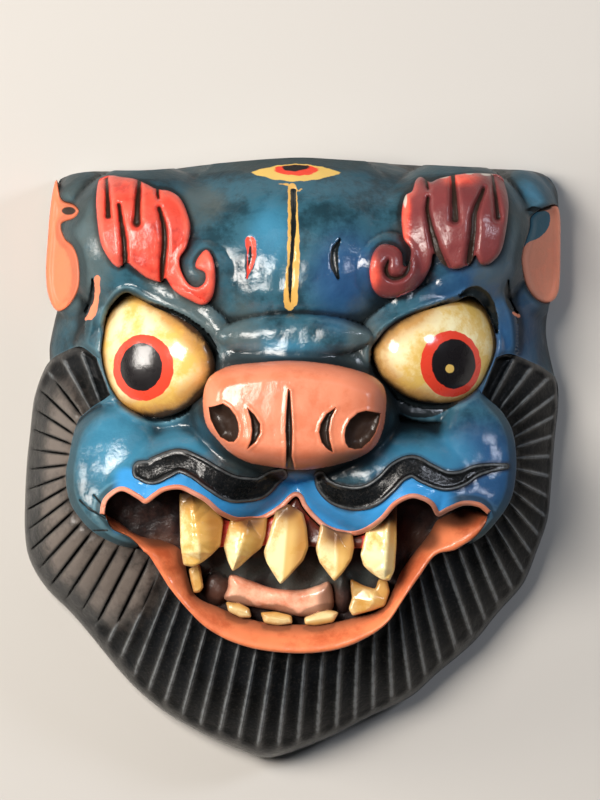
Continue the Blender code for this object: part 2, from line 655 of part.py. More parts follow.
def make_eye(eye, shell):
    outline = closed_curve(eye["outline"], "eye")

    def top(p):
        far = ((p[:, 0] - eye["x"]) / eye["half_x"]) ** 2 + ((p[:, 1] - eye["y"]) / eye["half_y"]) ** 2
        ball = eye["rise"] * np.sqrt(np.clip(1 - far, 0, 1))
        return eye["foot_z"] + ball + eye["lean"] * (p[:, 0] - eye["x"])

    seat = plane(eye["x"], eye["y"], EYE_SEAT_Z, eye["lean"])
    carved(eye["name"], outline, top, seat, PAINTS["yellow"], points_over(outline, "eye"))
    pocket([shell], outline, seat)


def make_whisker(name, rows, shell):
    outline = ribbon(rows, division("whisker")["step"])

    def top(p):
        return face_height(p) + WHISKER_RISE - shoulder(p, outline, WHISKER_SHOULDER, WHISKER_SHOULDER)

    seat = plane(0, 0, WHISKER_SEAT_Z)
    middle = curve_through([row[:2] for row in rows], OUTLINE_STEP)[1:-1]
    whisker = carved(name, outline, top, seat, PAINTS["black"], points_over(outline, "whisker", middle))
    pocket([shell], outline, seat)
    return whisker


def make_ear(ear, shell):
    outline = closed_curve(ear["outline"], "ear")

    def top(p):
        fall = shoulder(p, outline, EAR_SHOULDER, EAR_SHOULDER)
        return ear["front_z"] + ear["slope"] * (p[:, 0] - ear["x"]) - fall

    seat = plane(0, 0, EAR_SEAT_Z)
    carved(ear["name"], outline, top, seat, PAINTS["pink"], points_over(outline, "ear"))
    pocket([shell], outline, seat)


def make_nose(hosts):
    outline = closed_curve(NOSE, "nose")
    features = []
    for row in NOSTRILS:
        nostril = dict(zip(NOSTRIL_COLUMNS, row))
        turn = math.radians(nostril["turn"])
        across = np.array([math.cos(turn), math.sin(turn)]) * nostril["half_x"]
        along = np.array([-math.sin(turn), math.cos(turn)]) * nostril["half_y"]
        for size in NOSTRIL_RINGS:
            for way in np.linspace(0, 2 * math.pi, NOSTRIL_POINTS, endpoint=False):
                spot = np.array([nostril["x"], nostril["y"]])
                features.append(spot + size * (across * math.cos(way) + along * math.sin(way)))
    cuts = [groove_points(line, half, OUTLINE_STEP) for half, _, line in NOSE_CUTS]

    def top(p):
        z = NOSE_FRONT_Z - NOSE_BULGE * (p[:, 0] / NOSE_HALF_WIDTH) ** 2
        z -= shoulder(p, outline, NOSE_SHOULDER, NOSE_DROP)
        for row in NOSTRILS:
            nostril = dict(zip(NOSTRIL_COLUMNS, row))
            u, v = turned(p, nostril["x"], nostril["y"], nostril["turn"])
            inner = np.clip(1 - (u / nostril["half_x"]) ** 2 - (v / nostril["half_y"]) ** 2, 0, 1)
            z -= nostril["depth"] * np.sqrt(inner)
        for half, depth, line in NOSE_CUTS:
            z -= groove(p, line, half, depth)
        return z

    seat = plane(0, 0, NOSE_SEAT_Z)
    carved("nose_pad", outline, top, seat, PAINTS["pink"], points_over(outline, "nose", features, *cuts))
    pocket(hosts, outline, seat)


def mouth_floor(points):
    """The back of what stands in the mouth, just clear of the wall behind."""
    return mouth_wall(points) + SEAM


def make_lining(lip, inner):
    """The wall behind the teeth, from the lip line down to the beard."""
    around = np.vstack([lip, CORNER_RIGHT[1:-1], inner[::-1], CORNER_LEFT[:0:-1]])
    around = moved_in(around, SEAM / 2)
    carved("mouth_lining", around, mouth_wall, hollow_height, PAINTS["dark"], None, hollow_points(around))


def make_lip_edge(lip):
    """The thin painted edge along the upper lip."""
    edge = np.vstack([lip, moved_aside(lip, LIP_EDGE_WIDTH)[::-1]])
    edge = moved_in(edge, SEAM / 2)
    none = np.empty((0, 2))
    carved("upper_lip_edge", edge, lambda p: face_height(p) + LIP_EDGE_RISE,
           lambda p: face_height(p) - LIP_EDGE_DEPTH, PAINTS["pink"], none, none)


def make_lower_lip(inner):
    gum_edge = curve_through(GUM_EDGE, division("lower lip")["step"])
    outside = np.vstack([CORNER_LEFT[:-1], inner, CORNER_RIGHT[-2:0:-1]])
    outline = moved_in(np.vstack([outside, gum_edge[::-1][:-1]]), SEAM / 2)

    def top(p):
        out = distance_to(p, outside)[0]
        share = out / np.maximum(out + distance_to(p, gum_edge)[0], SEAM)
        rim = LIP_RIM_Z + (p[:, 1] - LIP_RIM_Y) * LIP_RIM_FALL
        near = np.clip(1 - out / LIP_RIM_ROUND, 0, 1)
        return rim - LIP_SCOOP * share**LIP_SCOOP_POWER - LIP_RIM_DROP * (1 - np.sqrt(1 - near**2))

    return carved("lower_lip", outline, top, mouth_floor, PAINTS["orange"], points_over(outline, "lower lip"))


def make_gum(lip):
    behind_teeth = lip[(lip[:, 0] > GUM_LOWER[-1][0] - 1) & (lip[:, 0] < GUM_LOWER[0][0] + 1)]
    gum = np.vstack([moved_aside(behind_teeth, -GUM_BELOW_LIP), curve_through(GUM_LOWER, OUTLINE_STEP)])
    carved("upper_gum", gum, plane(0, 0, GUM_TOP_Z), mouth_floor, PAINTS["red"])


def make_tongue():
    outline = closed_curve(TONGUE, "tongue")

    def top(p):
        return mouth_wall(p) + TONGUE_RISE - shoulder(p, outline, TONGUE_SHOULDER, TONGUE_DROP)

    return carved("tongue", outline, top, mouth_floor, PAINTS["orange"], points_over(outline, "tongue"))


def make_upper_tooth(number, points):
    outline = closed_curve(points, "upper tooth")

    def top(p):
        return UPPER_TOOTH_Z - shoulder(p, outline, UPPER_TOOTH_ROUND, UPPER_TOOTH_DROP)

    carved(f"tooth_upper_{number}", outline, top, plane(0, 0, GUM_TOP_Z + SEAM), PAINTS["tooth"],
           points_over(outline, "upper tooth"))


def make_lower_tooth(number, points, hosts):
    outline = closed_curve(points, "lower tooth")

    def top(p):
        return mouth_wall(p) + LOWER_TOOTH_RISE - shoulder(p, outline, LOWER_TOOTH_ROUND, LOWER_TOOTH_DROP)

    carved(f"tooth_lower_{number}", outline, top, mouth_floor, PAINTS["tooth"],
           points_over(outline, "lower tooth"))
    pocket(hosts, outline, mouth_floor)


def nearest(line, spot):
    return int(np.argmin(np.linalg.norm(line - spot, axis=1)))


def main():
    for old in list(bpy.context.scene.objects):
        bpy.data.objects.remove(old)
    inner = in_parts(BEARD_INNER, 2 * RIB_COUNT)
    outer = in_parts(BEARD_OUTER, 2 * RIB_COUNT)
    lip = curve_through(UPPER_LIP, LIP_STEP)
    left, right = nearest(inner, CORNER_LEFT[-1]), nearest(inner, CORNER_RIGHT[-1])
    side_left, side_right = nearest(outer, SKULL_EDGE[-1]), nearest(outer, SKULL_EDGE[0])
    shell = make_shell(np.vstack([
        outer[side_right:side_right + 1],
        curve_through(SKULL_EDGE, division("shell")["step"])[1:-1],
        outer[side_left::-1],
        inner[:left + 1],
        CORNER_LEFT[-2:0:-1],
        moved_aside(lip, LIP_EDGE_WIDTH),
        CORNER_RIGHT[1:-1],
        inner[right:],
        outer[:side_right:-1],
    ]))
    make_beard(inner, outer)
    make_brow("brow_left", BROW_LEFT, BROW_GROOVES_LEFT, shell)
    make_brow("brow_right", BROW_RIGHT, BROW_GROOVES_RIGHT, shell)
    for row in EYES:
        make_eye(dict(zip(EYE_COLUMNS, row)), shell)
    whisker_left = make_whisker("whisker_left", WHISKER_LEFT, shell)
    whisker_right = make_whisker("whisker_right", WHISKER_RIGHT, shell)
    make_nose([shell, whisker_left, whisker_right])
    for row in EARS:
        make_ear(dict(zip(EAR_COLUMNS, row)), shell)
    make_lining(lip, inner[left:right + 1])
    make_lip_edge(lip)
    lower_lip = make_lower_lip(inner[left:right + 1])
    make_gum(lip)
    tongue = make_tongue()
    for number, points in enumerate(UPPER_TEETH, 1):
        make_upper_tooth(number, points)
    for number, points in enumerate(LOWER_TEETH, 1):
        make_lower_tooth(number, points, [lower_lip, tongue])


main()
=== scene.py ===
"""The looks of the carved dragon mask: its relief, its paint, the stage and the camera.

Tables are in millimetres, meshes in metres. X runs across the face, Y from the chin to the top of the head and Z out
of the face, and the mask lies on its flat back rim.
"""

import functools
import json
import math

import bpy
import numpy as np
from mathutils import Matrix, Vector
from mathutils.geometry import delaunay_2d_cdt, intersect_line_line_2d

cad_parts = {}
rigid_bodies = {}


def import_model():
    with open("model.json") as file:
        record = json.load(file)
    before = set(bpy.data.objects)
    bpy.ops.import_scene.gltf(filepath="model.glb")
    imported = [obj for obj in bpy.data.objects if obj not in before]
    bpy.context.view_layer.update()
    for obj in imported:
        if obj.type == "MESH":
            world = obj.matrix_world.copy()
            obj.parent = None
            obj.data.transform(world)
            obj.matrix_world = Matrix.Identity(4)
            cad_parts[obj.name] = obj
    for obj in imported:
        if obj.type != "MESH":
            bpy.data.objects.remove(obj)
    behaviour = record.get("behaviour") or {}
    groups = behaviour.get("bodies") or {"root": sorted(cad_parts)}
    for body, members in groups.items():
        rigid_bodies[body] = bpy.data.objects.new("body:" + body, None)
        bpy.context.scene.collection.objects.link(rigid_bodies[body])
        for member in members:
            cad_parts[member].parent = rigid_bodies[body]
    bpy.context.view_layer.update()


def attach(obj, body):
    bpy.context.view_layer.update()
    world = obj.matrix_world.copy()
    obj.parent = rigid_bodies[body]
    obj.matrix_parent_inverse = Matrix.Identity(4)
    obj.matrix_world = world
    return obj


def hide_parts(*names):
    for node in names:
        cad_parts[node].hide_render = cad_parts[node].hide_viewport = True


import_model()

bl_info = {
    "name": "Carved dragon mask",
    "version": (1, 0, 0),
    "blender": (4, 5, 0),
    "location": "View3D > Sidebar > Dragon Mask",
    "description": "Carves and paints a wooden dragon mask around its packed solids",
    "category": "Add Mesh",
}

MM = 0.001
SHARP_DEGREES = 42.0  # edges that bend more than this stay sharp
CURVE_CUTS = 12  # cuts between two points of an outline, before it is evened out
FINE_STEP = 0.5  # the step of a line that is then cut into an exact number of parts
OUTLINE_STEP = 7.0  # the step of the outline that gives the block its form
LINE_STEP = 1.5  # the step of cuts and painted lines
LOOP_POINTS = 40  # how many points ahead an outline is searched for a loop
FAR = 9.0  # the gap that is noted where a line or spot is nowhere near
WALL_EDGE = 0.3  # points this close to an outline also stand for the upright side under it
WALL_MARKS = (("relief", 0.3), ("shade", 0.5), ("slope", 0.9))  # the relief maps, and what a side gets instead
CUT_EDGE = (-0.5, 0.1)  # from where to where a cut's edge counts as steep
TEETH_OUT = 14.0  # how far off the wall behind them the teeth stand, and how high at least, in the relief maps
TEETH_LEVEL = 92.0
SPOT_FALL = 1.2  # how fast a soft spot fades: to a third at its edge

# How each piece is carved: the step along its outline and of the grid on it, how far in its edge rolls over and how
# deep, how uneven the hand leaves it, and rows of points that follow its outline
CUT_COLUMNS = ("step", "grid", "roll", "drop", "uneven", "rows")
CUTS = {
    "head": (1.3, 1.12, 0.0, 0.0, 0.2, (0.4, 1.0, 1.8, 2.8, 4.0)),
    "brow": (0.8, 0.75, 3.0, 3.8, 0.2, (0.25, 0.6, 1.1, 1.7, 2.5, 3.3)),
    "eye": (0.9, 0.85, 3.0, 2.4, 0.0, (0.2, 0.5, 0.9, 1.5, 2.2, 3.0, 4.0)),
    "nose": (0.9, 0.9, 12.0, 22.0, 0.06, (0.3, 0.8, 1.5, 2.3, 3.2, 4.3, 5.5)),
    "whisker": (0.7, 0.7, 1.3, 2.0, 0.0, (0.2, 0.5, 0.9, 1.4, 2.0, 2.7)),
    "ear": (0.8, 0.8, 1.6, 2.4, 0.1, (0.3, 0.8, 1.5, 2.3, 3.2)),
    "lower lip": (1.0, 0.9, 5.0, 4.0, 0.15, (0.3, 0.8, 1.5, 2.3, 3.2, 4.3, 5.5)),
    "tongue": (0.8, 0.8, 6.0, 7.0, 0.2, (0.3, 0.8, 1.4, 2.2, 3.2)),
    "lining": (2.0, 1.6, 0.0, 0.0, 0.4, (0.8,)),
    "gum": (0.8, 0.8, 3.0, 2.5, 0.25, (0.3, 0.8, 1.4, 2.2)),
    "lip edge": (0.7, 0.6, 0.0, 0.0, 0.0, (0.25, 0.6, 1.0)),
}
# Pieces that are dished inside their edge: how deep, and from where on
DISHES = {"whisker": (1.1, 3.4), "ear": (1.4, 4.5)}

# The pillow form of the block
EDGE_HEIGHT = 12.0
CROWN_HEIGHT = 84.0
PILLOW_POWER = 3.0
PILLOW_FALL = 0.6
FORM_CENTRE = (0.0, 5.0)
FORM_BLEND = 2.2
# Where the masses melt into each other more softly: x, y, half width, half height, added blend
SOFT_PLACES = ((0, 132, 70, 40, 12.0), (-42, 112, 16, 26, 5.0), (44, 112, 16, 26, 5.0), (0, 22, 90, 14, 1.5))
BLEND_LEVEL = 100.0
SIDE_WALL = 74.0

# The hollow for the wearer's face
HOLLOW_CENTRE = (0.0, 10.0)
HOLLOW_HALF_WIDTH = 112.0
HOLLOW_HALF_LENGTH = 142.0
HOLLOW_HEIGHT = 72.0
HOLLOW_POWER = 2.4
HOLLOW_RINGS = (1.0, 0.997, 0.985, 0.96, 0.93, 0.88, 0.8, 0.7, 0.6, 0.48, 0.35, 0.2, 0.1)
HOLLOW_RING_POINTS = 96
RIM_REACH = 0.9995

# The wall behind the teeth: its height at MOUTH_Y and its rise per millimetre towards the nose
MOUTH_Z = 81.0
MOUTH_Y = -20.0
MOUTH_RISE = 0.22

# Outline of the head, from the right end of the beard over the top to the left end: x, y
SKULL_EDGE = (
    (149, 44), (147, 50), (143, 72), (146, 95), (148, 117), (150, 142), (148, 154), (140, 161), (123, 163),
    (94, 164), (60, 166), (26, 168), (0, 169), (-41, 166), (-80, 162), (-109, 162), (-125, 160), (-132, 156),
    (-132, 145), (-132, 123), (-130, 95), (-134, 79), (-137, 64), (-137, 55),
)
# Outer and inner edge of the beard, both from the left tip round the chin to the right tip: x, y
BEARD_OUTER = (
    (-110, 57), (-119, 63), (-129, 60), (-137, 55), (-142, 46), (-146, 33), (-148, 16), (-150, -3), (-151, -23),
    (-151, -43), (-148, -58), (-139, -73), (-125, -87), (-113, -101), (-100, -117), (-88, -130), (-72, -143),
    (-49, -156), (-30, -164), (-17, -169), (-4, -167), (7, -163), (24, -156), (43, -146), (66, -135), (82, -121),
    (102, -104), (116, -87), (130, -71), (138, -52), (144, -34), (146, -15), (148, 11), (150, 30), (149, 44),
    (143, 50), (133, 55), (122, 59), (114, 57),
)
BEARD_INNER = (
    (-102, 36), (-106, 33), (-111, 30), (-116, 26), (-120, 22), (-123, 13), (-125, 2), (-127, -9), (-125, -23),
    (-119, -33), (-111, -41), (-98, -48), (-83, -52), (-76, -61), (-69, -72), (-60, -83), (-49, -94), (-35, -102),
    (-18, -107), (4, -109), (24, -107), (40, -101), (53, -92), (62, -79), (71, -66), (80, -54), (91, -51),
    (104, -45), (114, -35), (122, -23), (125, -9), (125, 5), (123, 16), (119, 24), (115, 29), (110, 33), (106, 37),
)
RIB_COUNT = 56
RIB_TURN = 0.05  # how far the ribs' inner ends shift along the face
# The blue skin round the corners of the mouth, each from the corner down to the beard: x, y
CORNER_LEFT = ((-105, -31), (-101, -39), (-91, -44), (-83, -52))
CORNER_RIGHT = ((109, -31), (108, -36), (102, -44), (91, -51))
# The upper lip line, from the left corner to the right: x, y
UPPER_LIP = (
    (-105, -31), (-104, -25), (-101, -21), (-95, -18), (-87, -22), (-82, -25), (-76, -21), (-71, -18), (-63, -17),
    (-56, -20), (-49, -24), (-41, -31), (-32, -35), (-24, -35), (-16, -34), (-6, -28), (2, -21), (6, -27),
    (11, -33), (18, -39), (26, -42), (35, -43), (43, -40), (51, -34), (58, -26), (66, -22), (72, -23), (77, -26),
    (81, -32), (88, -29), (96, -26), (104, -27), (109, -31),
)
LIP_EDGE_WIDTH = 2.8
LIP_EDGE_DEPTH = 9.0
LIP_EDGE_LIFT = 0.2
LIP_LEAST = 0.3  # the width that the lower lip has at least
LIP_FLARE = 4.2
LIP_FLARE_REACH = 7.0
# The lower lip's inner edge, from the left corner to the right: x, y
GUM_EDGE = (
    (-105, -31), (-98, -35), (-86, -43), (-72, -46), (-62, -52), (-59, -65), (-54, -77), (-42, -83), (-30, -88),
    (-14, -92), (4, -93), (21, -92), (35, -89), (48, -85), (56, -74), (60.5, -64), (68, -53), (76, -43),
    (80.2, -35.5), (82.4, -33.6), (88.4, -30.8), (96, -28), (103, -29), (109, -31),
)

# Rounded masses of the head, blended together. n is how square a mass is: 2 is an ellipsoid
MASS_COLUMNS = ("name", "x", "y", "half_x", "half_y", "turn", "foot_z", "rise", "n")
MASSES = (
    ("crown", 0, 112, 128, 60, 0, 16, 84, 2.6),
    ("brow mound left", -82, 120, 48, 46, 0, 46, 61, 2.4),
    ("brow mound right", 90, 122, 46, 46, 0, 46, 61, 2.4),
    ("brow knot left", -52, 100, 20, 23, 0, 70, 45, 2.2),
    ("brow knot right", 56, 104, 20, 23, 0, 70, 45, 2.2),
    ("wrinkle roll", 1, 68.5, 43.5, 13.0, 0, 110, 18.5, 3.0),
    ("snout bridge", 0, 48, 50, 28, 0, 70, 60, 2.6),
    ("snout block", 1, 24, 60, 38, 0, 60, 87, 3.1),
    ("muzzle left", -52, -10, 62, 34, 8, 60, 64, 2.4),
    ("muzzle right", 56, -12, 60, 36, -6, 60, 64, 2.4),
    ("cheek left", -98, -10, 32, 42, 0, 62, 47, 3.6),
    ("cheek right", 103, -4, 28, 44, 0, 60, 48, 3.2),
    ("eye mound left", -76, 52, 48, 46, 0, 44, 48, 2.3),
    ("eye mound right", 80, 58, 46, 44, 0, 44, 48, 2.3),
    ("ear root left", -116, 118, 26, 46, 0, 10, 56, 2.4),
    ("ear root right", 128, 118, 26, 46, 0, 10, 56, 2.4),
)
# Masses whose top leans: its rise per millimetre to the right and upwards
LEANS = {"wrinkle roll": (0.06, 0.0), "cheek left": (0.2, -0.14), "cheek right": (-0.2, -0.12)}
# The forehead is flat in the middle and rolls away at the sides, over the top and into the crease under it:
# the middle, how high it is and how fast it falls to the sides, upwards and downwards
FOREHEAD = (-1.0, 95.0, 123.5, 0.000165, 0.0098, 0.026)
# The rolled rim round each eye: how high, how far from the eyeball and how wide
EYE_RIM = (2.4, 2.4, 1.9)
# Rolls of skin: name, radius, then the line along the middle as x, y, z
ROLLS = (
    ("upper lid left", 6.5, (
        (-110, 62, 65), (-110, 76, 73), (-104, 92, 81), (-92, 99, 89), (-78, 94, 96), (-60, 87, 102),
        (-44, 76, 108), (-36, 62, 111), (-35, 46, 110), (-43, 32, 104))),
    ("upper lid right", 6.5, (
        (37, 46, 109), (38, 60, 110), (46, 73, 108), (60, 84, 103), (76, 91, 98), (94, 98, 90),
        (108, 96, 82), (117, 84, 75), (120, 70, 69), (119, 56, 65))),
    ("lower lid left", 4.0, (
        (-110, 62, 67), (-109, 44, 71), (-101, 29, 79), (-88, 20, 87), (-75, 17, 93), (-62, 20, 98),
        (-50, 27, 102), (-43, 32, 104))),
    ("lower lid right", 4.0, (
        (119, 56, 67), (115, 44, 71), (107, 33, 79), (94, 26, 86), (81, 24, 91), (66, 26, 96),
        (52, 33, 102), (42, 43, 106))),
)

# Outlines of the raised pieces: x, y
BROW_LEFT = (
    (-109, 155), (-106, 158), (-101, 159), (-96, 158), (-89, 157), (-82, 154), (-76, 151), (-69, 150), (-63, 146),
    (-59, 138), (-57, 129), (-59, 119), (-63, 112), (-62, 105), (-58, 98), (-53, 96), (-49, 99), (-49, 104),
    (-54, 107), (-53, 112), (-48, 117), (-44, 111), (-43, 100), (-45, 90), (-50, 86), (-58, 89), (-66, 94),
    (-71, 101), (-74, 99), (-81, 101), (-88, 106), (-93, 110), (-97, 107), (-102, 111), (-107, 120), (-109, 131),
    (-110, 143),
)
BROW_RIGHT = (
    (119, 154), (116, 159), (108, 160), (99, 160), (91, 159), (82, 157), (77, 155), (72, 158), (69, 156),
    (67, 150), (63, 147), (61, 137), (62, 124), (66, 117), (65, 109), (62, 108), (61, 115), (57, 119), (50, 120),
    (45, 115), (43, 105), (45, 95), (51, 90), (61, 91), (71, 97), (77, 107), (79, 115), (84, 109), (91, 106),
    (99, 109), (102, 114), (105, 109), (110, 109), (116, 115), (119, 125), (121, 142),
)
BROW_SEAT_Z = 76.0
# Gouged cuts that part the locks of each brow: x, y, half width along the middle
BROW_CUTS_LEFT = (
    ((-104.4, 161, 1.4), (-104, 154, 1.0), (-103.5, 146, 1.2), (-103, 136, 1.7)),
    ((-97, 142, 0.8), (-95.5, 131, 1.3), (-94, 120, 1.5), (-93.5, 109, 1.9)),
    ((-85.6, 159, 1.8), (-86, 152, 1.3), (-86.5, 145, 1.5), (-87, 132, 2.1)),
    ((-75.6, 152, 1.6), (-75.4, 148.4, 0.9), (-75, 146, 0.4)),
    ((-74.5, 140, 0.8), (-72, 130, 1.4), (-71.5, 120, 1.6), (-72.5, 111, 1.6), (-73, 100, 1.4)),
)
BROW_CUTS_RIGHT = (
    ((65, 110, 1.3), (64.4, 105.6, 1.5), (61.6, 102, 1.3), (57.4, 100.8, 1.3), (53.8, 102, 1.4), (52.2, 106, 1.3),
     (53.6, 110.6, 0.5)),
    ((76, 146, 0.9), (75.5, 139, 1.3), (78, 127, 1.9), (82, 113, 3.0), (84, 106, 4.5)),
    ((89.6, 162, 2.0), (90, 155, 1.5), (90.5, 146, 1.9), (91, 134, 2.4)),
    ((74.6, 160, 1.5), (75, 155, 1.0), (76, 151, 0.5)),
    ((107, 151, 1.2), (102, 138, 1.9), (101, 126, 2.1), (99, 110, 2.4)),
    ((111.6, 163, 1.4), (112.2, 158, 1.0), (113.5, 148, 1.2), (115, 135, 1.6)),
)
BROWS = (("brow_left", BROW_LEFT, BROW_CUTS_LEFT), ("brow_right", BROW_RIGHT, BROW_CUTS_RIGHT))
BROW_SINK = 1.2  # how deep the cuts go below the rolled edges of the locks

EYE_LEFT = (
    (-106, 69), (-104, 81), (-99, 89), (-93, 93), (-86, 90), (-77, 85), (-63, 79), (-52, 71), (-45, 60), (-43, 51),
    (-46, 40), (-55, 31), (-66, 25), (-77, 23), (-88, 26), (-98, 34), (-104, 45), (-107, 58),
)
EYE_RIGHT = (
    (44, 60), (48, 67), (55, 74), (66, 80), (77, 84), (91, 88), (99, 91), (105, 88), (109, 82), (113, 72),
    (114, 62), (110, 50), (104, 40), (94, 33), (82, 31), (68, 33), (57, 39), (49, 47),
)
EYE_COLUMNS = ("name", "outline", "x", "y", "half_x", "half_y", "foot_z", "rise", "lean")
EYES = (
    ("eye_left", EYE_LEFT, -76, 56, 40, 42, 71, 40, 0.52),
    ("eye_right", EYE_RIGHT, 80, 60, 40, 38, 71, 40, -0.52),
)
EYE_SEAT_Z = 66.0
# The painted iris and pupil of each eye: the middle, the half width and the half height
IRIS_COLUMNS = ("eye", "ring_x", "ring_y", "ring_half_x", "ring_half_y", "pupil_x", "pupil_y",
                "pupil_half_x", "pupil_half_y")
IRISES = (
    ("eye_left", -83.4, 51.0, 17.0, 18.5, -84.6, 51.5, 11.8, 13.4),
    ("eye_right", 88.5, 53.2, 17.0, 18.5, 90.2, 53.2, 12.3, 13.8),
)

NOSE = (
    (0, 55), (21, 53), (38, 49), (48, 44), (52, 37), (52, 26), (50, 15), (45, 6), (35, 0), (21, -4), (4, -6),
    (-13, -4), (-24, -2), (-34, 3), (-42, 11), (-48, 19), (-50, 30), (-49, 40), (-45, 47), (-35, 52), (-18, 54),
)
NOSE_HALF_WIDTH = 52.0
NOSE_FRONT_Z = 160.0
NOSE_BULGE = 5.5
NOSE_NOD = 2.2  # how much the nose's front falls away towards its top
NOSE_MIDDLE_Y = 20.0
NOSE_HALF_LENGTH = 35.0
HOLE_RIM = (0.5, 0.9, 0.8)  # how high, how far out and how wide the rim round each hole is
NOSE_SEAT_Z = 114.0
# Nostrils and cuts in the nose: depth, how wide their walls are, and the corners of the outline
NOSE_HOLES = (
    (9.0, 6.0, ((-46.6, 29), (-43, 29.6), (-38.6, 31), (-35, 28.6), (-31.8, 24.6), (-30.2, 20.2), (-29.7, 16),
                (-30.4, 12.2), (-32.6, 9.8), (-35.6, 9.8), (-40, 12.4), (-43.2, 17.4), (-45.6, 22.4))),
    (9.0, 6.0, ((49, 25.4), (46.4, 26), (40.9, 27), (36.4, 25.8), (31.9, 21.9), (29.7, 17.4), (29, 13.4),
                (29.6, 9), (31.4, 6.4), (34.7, 5.6), (38.6, 6.2), (43.1, 10), (46.5, 15.2), (48.2, 20))),
    (3.4, 1.6, ((-24.9, 28.4), (-21.3, 25), (-17.9, 19.6), (-17.9, 14.6), (-20.2, 10), (-24.9, 5.8), (-23, 10.6),
                (-22.4, 16.2), (-23, 22))),
    (3.4, 1.6, ((24.2, 28.8), (21.4, 23), (20.2, 16.2), (20.8, 10.6), (22.6, 3.8), (19.6, 5.6), (16.2, 9.5),
                (14.9, 15.1), (15.7, 19.6), (19, 25.2))),
    (3.6, 1.6, ((-2.2, 39), (-3.4, 27), (-3.8, 16.2), (-3.4, 7.8), (-3.6, -6.5), (1.4, -6.5), (-0.4, 2), (0, 16.2),
                (-0.6, 27), (-1.4, 38))),
)

# Whiskers: x, y, half width along the middle
WHISKER_LEFT = (
    (-86, -6, 5.5), (-79, -7, 7.5), (-72, -4, 7.5), (-63, -1, 7), (-53, -5, 7), (-44, -11, 7.5), (-35, -16, 8),
    (-27, -17, 7.5), (-18, -16, 6.5), (-11, -11, 5), (-5, -8, 3.5),
)
WHISKER_RIGHT = (
    (15, -9, 3.5), (18, -15, 5), (25, -20, 6.5), (35, -22, 7), (44, -20, 7), (52, -14, 6.5), (59, -7, 6.5),
    (67, -4, 6.5), (75, -8, 6.5), (85, -12, 6), (94, -11, 5), (102, -7, 4), (110, -5, 3), (120, -4, 1.8),
)
WHISKERS = (("whisker_left", WHISKER_LEFT), ("whisker_right", WHISKER_RIGHT))
RIBBON_END = 0.7  # how long a whisker's rounded end is, as a share of its half width
WHISKER_SEAT_Z = 86.0

EAR_LEFT = (
    (-133, 157), (-130, 146), (-123, 143), (-120, 139), (-123, 135), (-130, 132), (-128, 124), (-123, 119),
    (-120, 110), (-120, 97), (-125, 87), (-132, 83), (-137, 90), (-139, 103), (-138, 123), (-136, 145),
)
EAR_RIGHT = (
    (141, 141), (134, 136), (133, 129), (129, 116), (129, 107), (132, 96), (138, 89), (145, 88), (150, 95),
    (151, 117), (150, 141),
)
# Where the head's blue laps over the right ear
EAR_FOLD = ((128, 143), (141, 140), (145, 137), (144, 130), (139, 124.5), (133, 122), (128, 119.5))
EAR_COLUMNS = ("name", "outline", "x", "front_z", "slope")
EARS = (("ear_left", EAR_LEFT, -120, 50, 1.1), ("ear_right", EAR_RIGHT, 129, 50, -1.1))
EAR_SEAT_Z = 16.0

GUM_LOWER = (
    (57, -46), (45, -50), (33, -50), (22, -53), (11, -49), (0, -51), (-14, -48), (-24, -52), (-36, -49),
    (-48, -50), (-61, -44),
)
GUM_TOP_Z = 96.0
GUM_RISE = 1.5
GUM_BELOW_LIP = 0.8
TOOTH_COLUMNS = ("name", "outline", "ridge", "foot_z", "wall", "rise")
